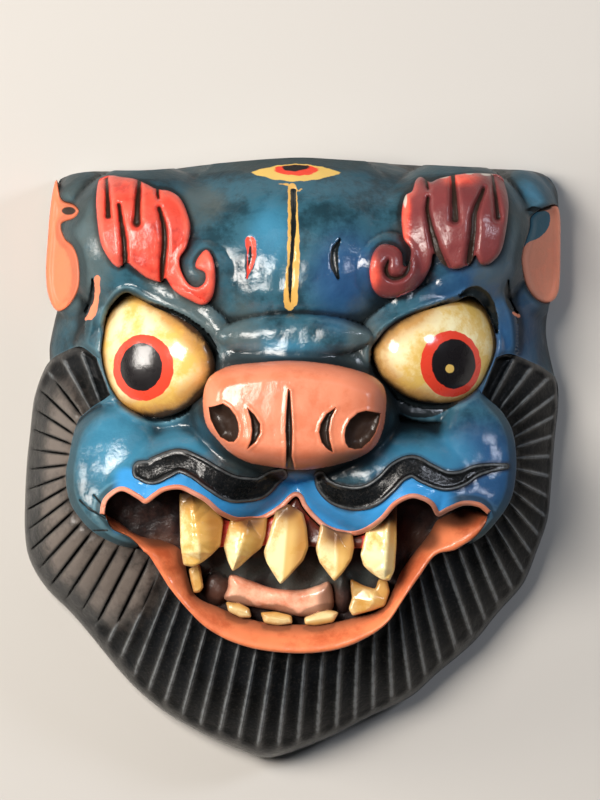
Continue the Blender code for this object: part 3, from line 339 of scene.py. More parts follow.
# Teeth: the corners of the outline, then the line along the ridge as x, y, and the heights of the foot, the wall
# and the ridge
TEETH = (
    ("tooth_upper_1", ((-63.3, -19), (-57, -18.4), (-48, -24.4), (-41, -30.4), (-38.6, -34.4), (-40.3, -48.7),
                       (-45.9, -54.3), (-51, -58.2), (-55.4, -60.5), (-61, -59.4), (-62.7, -48.2)),
     ((-56.6, -17), (-51, -63)), 96.3, 6.5, 8.0),
    ("tooth_upper_2", ((-34.6, -33), (-38.6, -48.7), (-36.4, -56.6), (-33.6, -63), (-29.7, -60.5), (-23, -54.3),
                       (-17.4, -49.8), (-15.1, -43.1), (-14, -32.6), (-24, -33)),
     ((-24, -32), (-34.4, -66)), 96.3, 5.5, 7.5),
    ("tooth_upper_3", ((-9.5, -29), (-13.4, -43.7), (-16.2, -52.1), (-14.6, -57.7), (-10.6, -64.4),
                       (-6.7, -70.3), (-2.8, -66.6), (6.2, -56.6), (9, -49.3), (8, -38.3), (6, -30.2),
                       (-2.4, -25)), ((-3, -26), (-6.9, -74)), 96.3, 6.5, 8.5),
    ("tooth_upper_4", ((15.8, -36), (12.9, -50.4), (15.1, -57.7), (19.6, -63.8), (23.5, -68.6), (28, -63.8),
                       (33, -56.6), (34.6, -49.3), (33.6, -41.6), (24, -40)),
     ((24.6, -40), (23.5, -72)), 96.3, 5.5, 7.5),
    ("tooth_upper_5", ((58.4, -25), (52.6, -30.4), (46.6, -36), (41, -40.8), (38, -53.8), (39.8, -59.9),
                       (44.2, -63.8), (49.3, -67.2), (54.3, -68.3), (57.1, -62.2), (58.2, -48.2)),
     ((54, -28), (50.8, -72)), 96.3, 6.5, 8.0),
    ("tooth_lower_1", ((-58.2, -61.6), (-52.1, -58.8), (-51, -63.8), (-49.8, -72.2), (-52.1, -75), (-55.4, -75),
                       (-57.1, -67.8)), ((-55, -57), (-54, -77)), 70.0, 17.0, 2.5),
    ("tooth_lower_2", ((-37.5, -80), (-29.1, -81), (-24, -84), (-23, -89), (-29, -89),
                       (-36, -85.6)), ((-40, -82), (-21, -87.5)), 66.0, 16.0, 1.6),
    ("tooth_lower_3", ((-18, -86), (-9.5, -85.6), (-0.4, -87.8), (0, -92.4), (-8.4, -93.4), (-16, -92)),
     ((-20, -88.6), (2, -90.5)), 64.0, 16.0, 1.6),
    ("tooth_lower_4", ((6.4, -89), (14, -86), (21, -84.6), (26, -86), (23, -91.6), (13.4, -93.4), (7, -93)),
     ((4, -91.5), (28, -87.5)), 64.0, 16.0, 1.6),
    ("tooth_lower_5", ((32.4, -67), (40, -71), (46.5, -73), (48.2, -67.2), (53.2, -68.3), (54.6, -74.5),
                       (51.8, -82.6), (44.2, -85.2), (33.6, -88), (31.4, -84), (33.4, -78), (32.6, -72)),
     ((48.5, -64), (42, -90)), 68.0, 15.0, 3.5),
)
TONGUE = (
    (-34.7, -65), (-24, -68), (-12.9, -72), (-1.7, -73.5), (7, -73), (15, -70.6), (20.5, -69), (23, -76),
    (22, -85), (12, -88), (4, -88.4), (-4.5, -86.4), (-13, -84.6), (-28, -82), (-38, -78.8), (-36.4, -72),
)
TONGUE_RISE = 13.0
# Worn molars at the back of the mouth: x, y, half width, half height, rise
MOLARS = ((-43, -73, 7.5, 9.0, 8.0), (28, -74.5, 5.5, 12.0, 7.0))

# The lower lip: its rolled rim, and how deep it scoops towards the teeth
LIP_RIM_Z = 98.0
LIP_RIM_Y = -31.0
LIP_RIM_FALL = 0.09
LIP_SCOOP = 15.0
LIP_SCOOP_POWER = 1.3

# Painted slits, the line down the forehead and painted shadows round the right eye: the paint, how deep it is
# cut, then x, y and half width
FOREHEAD_LINES = (
    ("yellow", 0.0, ((0, 152, 2.4), (0.4, 130, 3.1), (0.6, 112, 3.5), (-0.6, 96, 3.9), (-1.2, 88, 3.9),
                     (-1.7, 85.5, 2.6))),
    ("yellow", 0.0, ((0, 151, 0.7), (-2, 153.4, 0.6), (-8.5, 154.3, 0.3))),
    ("yellow", 0.0, ((1, 150, 0.7), (3, 149.6, 0.5), (5, 151, 0.3))),
    ("dark", 1.8, ((0.6, 150, 1.7), (0.6, 130, 1.4), (0, 118, 1.0), (-1.1, 104, 1.2), (-1.3, 92, 0.8),
                   (-1.2, 88, 0.3))),
    ("red", 1.4, ((-23.5, 121.5, 3.0), (-22.8, 115, 2.6), (-24, 107, 1.6), (-25.5, 101, 0.4))),
    ("dark", 0.0, ((-23.4, 119, 0.5), (-23.6, 114, 1.0), (-24.4, 108, 0.4))),
    ("dark", 3.0, ((26.5, 122.5, 0.8), (23.4, 116, 2.0), (23.4, 109, 2.3), (25.5, 101, 0.8))),
    ("dark", 3.0, ((-112, 100.5, 0.6), (-112, 96, 1.2), (-113, 89, 1.5), (-116, 83, 1.3))),
    ("pink", 0.0, ((-109.5, 101, 1.8), (-109.8, 92, 1.6), (-112.5, 81, 2.0), (-116, 78.6, 1.0))),
    ("dark", 3.0, ((121, 100, 0.7), (120.5, 93, 1.8), (123, 85, 1.5), (126.5, 82, 0.6))),
    ("pink", 0.0, ((124.5, 81.8, 1.2), (127, 80.2, 0.8))),
    # painted shadow: a dark crescent between the right eyeball and the cheek
    ("dark", 0.0, ((49, 41, 0.6), (54, 34, 2.0), (60, 29.5, 3.0), (68, 27, 3.4), (76, 26.4, 3.0), (85, 28.4, 1.8),
                   (92, 31.5, 0.6))),
    # painted shade: a deep dark gap between the right eyeball and its upper lid
    ("dark", 5.0, ((94, 91.4, 0.8), (100.4, 93.8, 2.9), (106, 91.8, 3.4), (109.9, 86.8, 3.0), (113, 79.4, 2.2),
                   (114.6, 71, 0.8))),
    ("dark", 1.6, ((131, 139.5, 0.5), (135, 140.2, 1.6), (140, 138.5, 2.0), (143, 135, 1.5), (143.5, 131, 0.6))),
    ("dark", 1.0, ((-119, -23, 0.5), (-114, -27.4, 0.7), (-104, -33.6, 0.5))),
    ("dark", 0.8, ((-111, -20, 0.4), (-105, -27, 0.5))),
    ("dark", 0.8, ((-111, -40, 0.4), (-103.6, -40, 0.5))),
)
# The almond eye painted high on the forehead, in three parts: x, y, half width, half height
THIRD_EYE = (("white", 2.0, 160.4, 26.0, 5.0), ("iris", 2.0, 162.3, 12.2, 3.6), ("pupil", 1.4, 163.6, 7.6, 2.3))

# Where the paint is lighter, darker, greyer or dirtier, some of it painted light and shade: for each tint,
# spots as x, y, half width and half height
PATCHES = {
    "grey": ((-52, 142, 18, 18), (-122, 120, 30, 60), (-60, 70, 34, 60), (0, 166, 70, 8), (-30, 60, 20, 40),
        (120, 120, 30, 50), (-30, 8, 18, 22), (40, 60, 16, 40)),
    # lit_lock_edges: painted light, the right brow's lock edges that face the light kept bright red
    "lit_lock_edges": ((63, 136, 4, 24), (44, 104, 6, 12), (94, 158, 12, 6), (62, 152, 8, 8)),
    "chip": ((83, 158.6, 7, 2.2), (99, 160.6, 4, 2), (109, 160, 5, 2), (63, 146, 1.6, 8)),
    # brown: grime in the mouth, and painted shade on the tongue's right end and under the nose
    "brown": ((20, -78, 9, 14), (34, -1, 24, 8), (93, -34, 15, 6), (76, -46, 10, 8), (-74, -46, 14, 6),
        (-43, -73, 9, 10), (66, -44, 16, 12), (-20, -50, 20, 8)),
    # deep: painted shade over the nose's right side
    "deep": ((48, 30, 22, 34),),
    # gap: painted shade on the gum between and above the teeth
    "gap": ((12, -42, 6, 14), (3, -26, 9, 9), (-66, -40, 6, 16), (36.6, -46, 3, 5)),
    "bright": ((-98, 8, 34, 36), (-12, 125, 18, 26), (-58, 10, 34, 18), (60, 2, 26, 16), (84, 2, 26, 18),
        (-10, 60, 34, 10), (134, 152, 22, 20)),
    # navy: painted shade, a darker blue over the right side of the head
    "navy": ((106, -6, 36, 36), (110, 80, 44, 60), (30, 100, 26, 34), (70, -12, 30, 20)),
    # sheen: the painted sheen on the beard's left side, where its ribs are also round-topped
    "sheen": ((-134, 8, 24, 46), (-138, -26, 20, 26), (-104, -66, 34, 34), (-132, -60, 30, 40)),
    "slate": ((-30, -58, 30, 14), (8, -66, 30, 14), (38, -66, 14, 10)),
}

# Waves that leave the surface a little uneven, as a hand-held gouge does: length, direction in degrees, phase
WAVES = ((27, 12, 0.3), (21, 75, 1.9), (17, 140, 4.1), (13, 40, 2.2), (11, 105, 5.2), (9, 165, 0.9))

# The map of how the surface stands above or below its surroundings
MAP_STEP = 1.0
MAP_HALF = (166.0, 184.0)
SURROUNDINGS = (2.2, 7.0)  # how wide the near and the wide surroundings reach

CAMERA_HEIGHT = 10.0
CAMERA_LEVEL = 0.09
CAMERA_X = 0.0042
CAMERA_Y = 0.033
FRAME_HEIGHT = 0.448
SENSOR = 36.0
FLOOR_HALF = 30.0
FLOOR_DROP = 0.0003  # keeps the floor just under the rim that rests on it
BACKDROP_COLOUR = "C9CFD6"
BACKDROP_STRENGTH = 0.05
LIGHT_TARGET = (0.0, 0.0, 0.08)
# Soft lights: name, place, width, height, watts, colour
LIGHTS = (
    ("window light", (-0.7, 0.4, 1.7), 0.64, 0.76, 41.0, "FFF8F0"),
    ("left light", (-1.6, 0.15, 0.62), 0.6, 0.5, 17.0, "FFF8F0"),
    ("fill light", (1.2, 0.6, 1.1), 0.3, 0.3, 8.0, "EAF1FF"),
    ("top light", (0.2, 1.3, 1.6), 1.2, 0.5, 1.4, "FFFFFF"),
)

# The paints: name, where it shows, sRGB colour
COLOURS = (
    ("blue", "The teal of the head", "335F70"),
    ("deep_blue", "The darker strokes on the head", "1E3B46"),
    ("bright_blue", "Where the head's paint is freshest", "4698BE"),
    # navy: painted shade over the right side of the head
    ("navy", "The darker side of the head", "2B5484"),
    ("grey_blue", "Where the blue has dulled", "566160"),
    ("worn_blue", "The head's rubbed rolls", "7397A2"),
    ("lip_blue", "The vivid band over the lip line", "3A92D2"),
    # stain: grime and painted shade in the hollows, painted shade on the steep sides, and the dark paint of the slits
    ("stain", "Grime in the deep places", "1A2124"),
    # brown_grime_and_shade: grime and painted shade round the raised pieces, in the cuts and between the teeth
    ("brown_grime_and_shade", "Grime round the raised pieces", "30221B"),
    ("charcoal", "The beard and whiskers", "101316"),
    # black: also painted shade in the beard's hollows and painted shadow along its round ribs
    ("black", "The deep parts of the beard", "07090A"),
    # dust: dust specks on the beard, and the painted sheen on its left side
    ("dust", "Dull specks on the beard", "746A63"),
    ("rib_edge", "The rubbed edges of the ribs", "7E8488"),
    ("vermilion", "The brows", "EC5240"),
    ("deep_vermilion", "The darker strokes on the brows", "B23830"),
    ("worn_red", "The rubbed tops of the brows", "FC7E68"),
    ("eye_cream", "The middle of the eyeballs", "FFF4C4"),
    ("eye_yellow", "The eyeballs", "E6C068"),
    # amber: partly painted shade along the eyeballs' edges
    ("amber", "The edges of the eyeballs", "C08A42"),
    ("iris_red", "The ring round the pupil", "EA4630"),
    ("pupil", "The pupils", "1A1719"),
    ("salmon", "The nose", "E58C6A"),
    ("salmon_shade", "The darker strokes on the nose", "D87A57"),
    # shaded_salmon: painted shade on the nose's lower and right side, and in the hollows of the salmon pieces
    ("shaded_salmon", "The nose's lower side", "A45C44"),
    ("ear_orange", "The ears", "EE7E56"),
    ("lip_line", "The thin edge of the upper lip", "F4AC94"),
    ("lip_orange", "The lower lip", "EC8658"),
    ("deep_lip", "The darker strokes on the lip", "C8643E"),
    # mouth_grime_and_shade: grime in the mouth, and painted shade on the lower lip's inner side, at the teeth's roots
    # and on the tongue
    ("mouth_grime_and_shade", "Grime in the mouth", "5C3A2A"),
    ("tooth_cream", "The teeth's faces", "FCEDB2"),
    # tooth_yellow and tooth_amber also paint shade on the teeth's right faces, tooth_amber also at their roots
    ("tooth_yellow", "The teeth's darker faces", "DDAE5C"),
    ("tooth_amber", "The teeth's roots and edges", "B07A3C"),
    ("mouth_black", "The back of the mouth", "1B1416"),
    ("mouth_brown", "Thin paint in the mouth", "4A3530"),
    ("mouth_slate", "The upper back of the mouth", "4C5450"),
    ("tongue_pink", "The tongue", "FFC4A4"),
    # maroon: painted shade over the right brow
    ("maroon", "The darkened right brow", "70393B"),
    ("primer", "The pale ground where the paint has chipped", "CFC4B8"),
    ("wood", "The bare wood behind", "B08E62"),
    ("old_wood", "The darker grain behind", "7A5A3A"),
    ("paper", "The studio floor", "C4C1BC"),
)


def evenly(line, step=None, parts=None):
    """The line cut into even parts: so many, or about one step long each."""
    along = np.concatenate([[0], np.cumsum(np.linalg.norm(np.diff(line, axis=0), axis=1))])
    parts = parts or max(4, int(round(along[-1] / step)))
    marks = np.linspace(0, along[-1], parts + 1)
    return np.column_stack([np.interp(marks, along, line[:, k]) for k in range(line.shape[1])])


def curve_through(points, step, closed=False):
    """A smooth line through the points, cut into even steps."""
    points = np.array(points, float)
    if closed:
        padded = np.vstack([points[-1:], points, points[:2]])
    else:
        padded = np.vstack([2 * points[:1] - points[1:2], points, 2 * points[-1:] - points[-2:-1]])
    fine = []
    t = np.linspace(0, 1, CURVE_CUTS, endpoint=False)[:, None]
    for a, b, c, d in zip(padded, padded[1:], padded[2:], padded[3:]):
        fine.append(0.5 * (2 * b + (c - a) * t + (2 * a - 5 * b + 4 * c - d) * t**2
                           + (3 * b - a - 3 * c + d) * t**3))
    fine.append(points[:1] if closed else points[-1:])
    line = evenly(np.vstack(fine), step)
    return line[:-1] if closed else line


def in_parts(points, parts):
    """A smooth line through the points in an exact number of parts."""
    return evenly(curve_through(points, FINE_STEP), parts=parts)


def sides_of(corners, step):
    """Points along the straight sides between corners, at about one step from each other."""
    corners = np.array(corners, float)
    found = []
    for a, b in zip(corners, np.roll(corners, -1, axis=0)):
        parts = max(int(round(np.linalg.norm(b - a) / step)), 1)
        found.append(a + (b - a) * np.linspace(0, 1, parts, endpoint=False)[:, None])
    return np.vstack(found)


def without_loops(outline):
    """The closed outline without the small loops that a moved line makes in a tight bend, nor points too close."""
    points = [Vector(p) for p in outline]
    i = 0
    while i + 2 < len(points):
        for k in range(min(i + LOOP_POINTS, len(points) - 1), i + 1, -1):
            spot = intersect_line_line_2d(points[i], points[i + 1], points[k], points[(k + 1) % len(points)])
            if spot is not None and (k + 1) % len(points) != i:
                points[i + 1:k + 1] = [spot]
                break
        i += 1
    points = np.array([tuple(p) for p in points])
    return points[np.linalg.norm(points - np.roll(points, 1, axis=0), axis=1) > 0.15]


def anticlockwise(outline):
    outline = np.array(outline, float)
    x, y = outline[:, 0], outline[:, 1]
    return outline if np.sum(x * np.roll(y, -1) - y * np.roll(x, -1)) > 0 else outline[::-1]


def moved_in(outline, distance):
    """The closed outline moved inwards by a distance, or outwards by a negative one."""
    outline = anticlockwise(outline)
    ahead = np.roll(outline, -1, axis=0) - outline
    ahead /= np.maximum(np.linalg.norm(ahead, axis=1)[:, None], 1e-9)
    normal = np.column_stack([-ahead[:, 1], ahead[:, 0]])
    both = normal + np.roll(normal, 1, axis=0)
    both /= np.maximum(np.linalg.norm(both, axis=1)[:, None], 1e-6)
    stretch = 1 / np.clip(np.sum(both * normal, axis=1), 0.5, 1)
    return outline + both * (distance * stretch)[:, None]


def leftwards(line):
    """The way to the left of an open line at each of its points, one unit long."""
    ahead = np.gradient(line, axis=0)
    ahead /= np.linalg.norm(ahead, axis=1)[:, None]
    return np.column_stack([-ahead[:, 1], ahead[:, 0]])


def moved_aside(line, distance):
    """The open line moved to its left by a distance."""
    return line + distance * leftwards(line)


def distance_to(points, line, closed=False):
    """How far each point lies from a line of straight pieces, and the third value of the nearest spot on it."""
    line = np.array(line, float)
    ends = np.roll(line, -1, axis=0) if closed else line[1:]
    starts = line if closed else line[:-1]
    best = np.full(len(points), 1e9)
    value = np.zeros(len(points))
    for a, b in zip(starts, ends):
        along = (b - a)[:2]
        t = np.clip((points - a[:2]) @ along / max(float(along @ along), 1e-9), 0, 1)
        gap = np.hypot(points[:, 0] - a[0] - t * along[0], points[:, 1] - a[1] - t * along[1])
        nearer = gap < best
        best[nearer] = gap[nearer]
        if line.shape[1] > 2:
            value[nearer] = (a[2] + t * (b[2] - a[2]))[nearer]
    return best, value


def inside(points, outline):
    """Which points lie inside a closed outline."""
    low, high = outline.min(axis=0), outline.max(axis=0)
    near = np.all((points >= low) & (points <= high), axis=1)
    x, y = points[near, 0][:, None], points[near, 1][:, None]
    x0, y0 = outline[:, 0], outline[:, 1]
    x1, y1 = np.roll(x0, -1), np.roll(y0, -1)
    between = (y0 > y) != (y1 > y)
    rise = np.where(y1 == y0, 1e-9, y1 - y0)
    found = np.zeros(len(points), bool)
    found[near] = (between & (x < (x1 - x0) * (y - y0) / rise + x0)).sum(axis=1) % 2 == 1
    return found


def near_box(points, line, reach):
    """Which points lie within reach of the box round a line, so that the others need no measuring."""
    line = np.array(line, float)[:, :2]
    return np.all((points >= line.min(axis=0) - reach) & (points <= line.max(axis=0) + reach), axis=1)


def edge_gap(points, closed_line):
    """How far each point lies from a closed line, on either side of it."""
    return distance_to(points, closed_line, True)[0]


def outside_gap(points, corners):
    """How far each point is outside a closed outline, below 0 inside it."""
    corners = np.array(corners, float)
    gap = edge_gap(points, corners)
    return np.where(inside(points, corners), -gap, gap)


def oval(points, x, y, half_x, half_y):
    """0 in the middle of an oval and 1 on its edge, growing with the square of the distance."""
    return ((points[:, 0] - x) / half_x) ** 2 + ((points[:, 1] - y) / half_y) ** 2


def spot(points, x, y, half_x, half_y):
    """1 in the middle of an oval spot, fading away softly."""
    return np.exp(-SPOT_FALL * oval(points, x, y, half_x, half_y))


def hollow_reach(points):
    """0 at the deepest spot of the wearer's hollow and 1 at its rim."""
    x = np.abs(points[:, 0] - HOLLOW_CENTRE[0]) / HOLLOW_HALF_WIDTH
    y = np.abs(points[:, 1] - HOLLOW_CENTRE[1]) / HOLLOW_HALF_LENGTH
    return (x**HOLLOW_POWER + y**HOLLOW_POWER) ** 0.5


def hollow_height(points):
    reach = hollow_reach(points)
    return np.where(reach > RIM_REACH, 0, HOLLOW_HEIGHT * np.sqrt(np.clip(1 - reach**2, 0, 1)))


def mouth_wall(points):
    return MOUTH_Z + (points[:, 1] - MOUTH_Y) * MOUTH_RISE


def hand_cut(points, depth):
    """The slight unevenness that hand tools leave."""
    total = np.zeros(len(points))
    for length, direction, phase in WAVES:
        turn = math.radians(direction)
        total += np.sin((points[:, 0] * math.cos(turn) + points[:, 1] * math.sin(turn)) * 2 * math.pi / length
                        + phase)
    return depth * total / len(WAVES) ** 0.5


WHOLE_EDGE = np.vstack([
    curve_through(SKULL_EDGE, OUTLINE_STEP)[:-1],
    curve_through(BEARD_OUTER[3:-4], OUTLINE_STEP),
])


def pillow(points):
    """The rounded block that the mask is carved from."""
    centre = np.array(FORM_CENTRE)
    edge = WHOLE_EDGE - centre
    turn = np.arctan2(edge[:, 1], edge[:, 0])
    order = np.argsort(turn)
    away = points - centre
    reach = np.interp(np.arctan2(away[:, 1], away[:, 0]), turn[order], np.linalg.norm(edge, axis=1)[order],
                      period=2 * math.pi)
    rho = np.clip(np.linalg.norm(away, axis=1) / reach, 0, 1)
    return EDGE_HEIGHT + CROWN_HEIGHT * (1 - rho**PILLOW_POWER) ** PILLOW_FALL


def groove(points, line, depth):
    """A gouged cut along a line of x, y and half width."""
    cut = np.zeros(len(points))
    near = near_box(points, line, 6)
    gap, half = distance_to(points[near], curve_through(line, LINE_STEP))
    cut[near] = depth * np.clip(1 - (gap / np.maximum(half, 0.2)) ** 2, 0, 1)
    return cut


def blended_masses(points):
    """Height of the blue head before its fine cuts."""
    blend = np.full(len(points), FORM_BLEND)
    for x, y, half_x, half_y, more in SOFT_PLACES:
        blend += more * spot(points, x, y, half_x, half_y)
    total = np.exp((pillow(points) - BLEND_LEVEL) / blend)
    for row in MASSES:
        mass = dict(zip(MASS_COLUMNS, row))
        turn = math.radians(mass["turn"])
        dx, dy = points[:, 0] - mass["x"], points[:, 1] - mass["y"]
        u = np.abs(dx * math.cos(turn) + dy * math.sin(turn)) / mass["half_x"]
        v = np.abs(dy * math.cos(turn) - dx * math.sin(turn)) / mass["half_y"]
        far = (u * u + v * v) ** (mass["n"] / 2)
        z = mass["foot_z"] + mass["rise"] * np.clip(1 - far, 0, 1) ** (1 / mass["n"])
        across, up = LEANS.get(mass["name"], (0, 0))
        z += across * dx + up * dy
        total += np.where(far < 1, np.exp((z - BLEND_LEVEL) / blend), 0)
    x, y, height, sideways, upwards, downwards = FOREHEAD
    up = points[:, 1] - y
    swell = height - sideways * np.abs(points[:, 0] - x) ** 3 - np.where(up > 0, upwards, downwards) * up**2
    total += np.where(swell > 60, np.exp((swell - BLEND_LEVEL) / blend), 0)
    for _, radius, line in ROLLS:
        near = near_box(points, line, radius)
        gap, middle = distance_to(points[near], curve_through(line, 3.0))
        z = middle + np.sqrt(np.clip(radius**2 - gap**2, 0, None))
        total[near] += np.where(gap < radius, np.exp((z - BLEND_LEVEL) / blend[near]), 0)
    z = np.minimum(BLEND_LEVEL + blend * np.log(total), pillow(points) + SIDE_WALL)
    near = near_box(points, UPPER_LIP, 24)
    gap = distance_to(points[near], curve_through(UPPER_LIP, 2.0))[0]
    z[near] += LIP_FLARE * np.exp(-(gap / LIP_FLARE_REACH) ** 2)
    rise, away, wide = EYE_RIM
    for _, corners, *_ in EYES:
        near = near_box(points, corners, 9)
        gap = edge_gap(points[near], curve_through(corners, LINE_STEP, True))
        z[near] += rise * np.exp(-((gap - away) / wide) ** 2)
    return z


def face_height(points):
    """Height of the blue head, with the slits and the line cut into its forehead and cheeks."""
    z = blended_masses(points) + hand_cut(points, cut_of("head")["uneven"])
    for _, depth, line in FOREHEAD_LINES:
        if depth:
            z -= groove(points, line, depth)
    return z


def quarter_round(gap, width, drop):
    """How much a piece falls away near its outline."""
    near = np.clip(1 - gap / width, 0, 1)
    return drop * (1 - np.sqrt(1 - near**2))


def ribbon(rows, step):
    """The outline of a band from its middle line and half widths, with rounded ends."""
    line = curve_through(rows, step)
    side = leftwards(line[:, :2])
    turns = np.linspace(-math.pi / 2, math.pi / 2, 9)[1:-1]
    caps = []
    for end, sign in ((0, -1), (-1, 1)):
        way = math.atan2(-sign * side[end, 0], sign * side[end, 1])
        along = np.array([math.cos(way), math.sin(way)])
        across = np.array([-along[1], along[0]])
        caps.append([line[end, :2] + line[end, 2] * (RIBBON_END * math.cos(t) * along + math.sin(t) * across)
                     for t in turns])
    right = line[:, :2] - side * line[:, 2:]
    left = (line[:, :2] + side * line[:, 2:])[::-1]
    return np.vstack([right, caps[1], left, caps[0]])


def grid_inside(outline, spacing, clear):
    """Points of an even triangular grid that lie inside an outline and clear of it."""
    low, high = outline.min(axis=0), outline.max(axis=0)
    found = []
    for row, y in enumerate(np.arange(low[1], high[1], spacing * 0.866)):
        x = np.arange(low[0] + (row % 2) * spacing / 2, high[0], spacing)
        found.append(np.column_stack([x, np.full(len(x), y)]))
    found = np.vstack(found)
    found = found[inside(found, outline)]
    return found[edge_gap(found, outline) > clear]


def thinned(points, apart):
    """The points without those that share a small square with an earlier one."""
    _, first = np.unique(np.floor(points / apart).astype(int), axis=0, return_index=True)
    return points[np.sort(first)]


def cut_of(piece):
    return dict(zip(CUT_COLUMNS, CUTS[piece]))


def points_over(outline, piece, features=()):
    """The points that shape a piece's top: its features, rows that follow its outline, and a grid."""
    cut = cut_of(piece)
    kept = [np.empty((0, 2)), *features]
    last = 0
    for distance in cut["rows"]:
        row = moved_in(outline, distance)
        row = row[inside(row, outline)]
        kept.append(row[edge_gap(row, outline) > 0.85 * distance])
        last = distance
    kept.append(grid_inside(outline, cut["grid"], last + 0.4 * cut["grid"]))
    found = np.vstack(kept)
    found = found[inside(found, outline)]
    found = found[edge_gap(found, outline) > 0.12]
    return thinned(found, 0.3 * cut["grid"])


def triangles_over(outline, extra):
    """Triangles that fill an outline and use the extra points."""
    points = np.vstack([outline, extra]) if len(extra) else outline
    count = len(outline)
    edges = [(i, (i + 1) % count) for i in range(count)]
    verts, _, faces, _, _, _ = delaunay_2d_cdt([Vector(p) for p in points], edges, [], 1, 1e-6)
    if len(verts) != len(points):
        raise ValueError("an outline crosses itself")
    return points, [tuple(f) for f in faces]


def hollow_points(outline):
    """Points on the wearer's hollow in rings that follow its rim."""
    turn = np.linspace(0, 2 * math.pi, HOLLOW_RING_POINTS, endpoint=False)
    way = np.column_stack([np.cos(turn), np.sin(turn)])
    rim = way / (np.abs(way[:, :1] / HOLLOW_HALF_WIDTH) ** HOLLOW_POWER
                 + np.abs(way[:, 1:] / HOLLOW_HALF_LENGTH) ** HOLLOW_POWER) ** (1 / HOLLOW_POWER)
    found = np.vstack([rim * ring ** (2 / HOLLOW_POWER) + HOLLOW_CENTRE for ring in HOLLOW_RINGS])
    found = found[inside(found, outline)]
    return found[edge_gap(found, outline) > 1.0]


def smooth_step(value, low, high):
    t = np.clip((value - low) / (high - low), 0, 1)
    return t * t * (3 - 2 * t)


def outline_of(points, piece):
    """The smooth outline of a raised piece, anticlockwise."""
    return anticlockwise(curve_through(points, cut_of(piece)["step"], True))


def eye_dome(points, eye):
    far = oval(points, eye["x"], eye["y"], eye["half_x"], eye["half_y"])
    ball = eye["rise"] * np.sqrt(np.clip(1 - far, 0, 1))
    return eye["foot_z"] + ball + eye["lean"] * (points[:, 0] - eye["x"])


def worked(points, gap, piece):
    """What the hand takes off a piece and leaves on it: a rolled edge, a dish inside it, a slightly uneven surface."""
    cut = cut_of(piece)
    depth, floor = DISHES.get(piece, (0.0, FAR))
    return (hand_cut(points, cut["uneven"]) - quarter_round(gap, cut["roll"], cut["drop"])
            - depth * smooth_step(gap, cut["roll"], floor))


def eye_top(points, eye, outline):
    """The eyeball, rolled over where it dips behind its lids."""
    return eye_dome(points, eye) + worked(points, edge_gap(points, outline), "eye")


def lock_gap(points, outline, cuts):
    """How far each spot of a brow is from the nearest edge of its lock, below 0 inside a cut."""
    gap = edge_gap(points, outline)
    for line in cuts:
        away, half = distance_to(points, curve_through(line, LINE_STEP))
        gap = np.minimum(gap, away - half)
    return gap


def brow_top(points, outline, cuts, rise):
    """Flame locks, each rounded over towards the cuts between them."""
    gap = lock_gap(points, outline, cuts)
    return blended_masses(points) + rise + np.clip(gap, -BROW_SINK, 0) + worked(points, gap, "brow")


def whisker_top(points, outline, rise):
    """A band with two raised edges and a shallow channel between them."""
    return face_height(points) + rise + worked(points, edge_gap(points, outline), "whisker")


def nose_top(points, outline):
    """The blunt snout: a bulged front with its nostrils and cuts, rolled over at the sides."""
    z = NOSE_FRONT_Z - NOSE_BULGE * (points[:, 0] / NOSE_HALF_WIDTH) ** 2
    z -= NOSE_NOD * ((points[:, 1] - NOSE_MIDDLE_Y) / NOSE_HALF_LENGTH) ** 2
    z += worked(points, edge_gap(points, outline), "nose")
    height, away, wide = HOLE_RIM
    for depth, wall, corners in NOSE_HOLES:
        gap = outside_gap(points, corners)
        z -= depth * np.sin(np.clip(-gap / wall, 0, 1) * math.pi / 2) ** 0.7
        z += height * np.exp(-((gap - away) / wide) ** 2) * (gap > 0)
    return z


def ear_top(points, ear, outline):
    """A leaf-shaped ear, dished inside a raised edge."""
    lean = ear["front_z"] + ear["slope"] * (points[:, 0] - ear["x"])
    return lean + worked(points, edge_gap(points, outline), "ear")


def across_lip(points, outer, inner):
    """How far each point is from the lip's outer line, and its share of the way from there to the inner one."""
    out = distance_to(points, outer)[0]
    return out, out / np.maximum(out + distance_to(points, inner)[0], LIP_LEAST)


def lower_lip_top(points, outer, inner):
    """The lower lip: a rolled rim that scoops down towards the teeth."""
    out, share = across_lip(points, outer, inner)
    rim = LIP_RIM_Z + (points[:, 1] - LIP_RIM_Y) * LIP_RIM_FALL
    return rim - LIP_SCOOP * share**LIP_SCOOP_POWER + worked(points, out, "lower lip")


def tongue_top(points, outline):
    return mouth_wall(points) + TONGUE_RISE + worked(points, edge_gap(points, outline), "tongue")


def gum_top(points, outline):
    return GUM_TOP_Z + GUM_RISE + worked(points, edge_gap(points, outline), "gum")


def lip_edge_top(points, line, width, rise):
    """A rounded bead along the lip line."""
    across = np.abs(distance_to(points, line)[0] - width / 2) / (width / 2)
    return face_height(points) + rise * np.sqrt(np.clip(1 - across**2, 0, 1)) + LIP_EDGE_LIFT


def nearest(line, spot):
    return int(np.argmin(np.linalg.norm(line - spot, axis=1)))


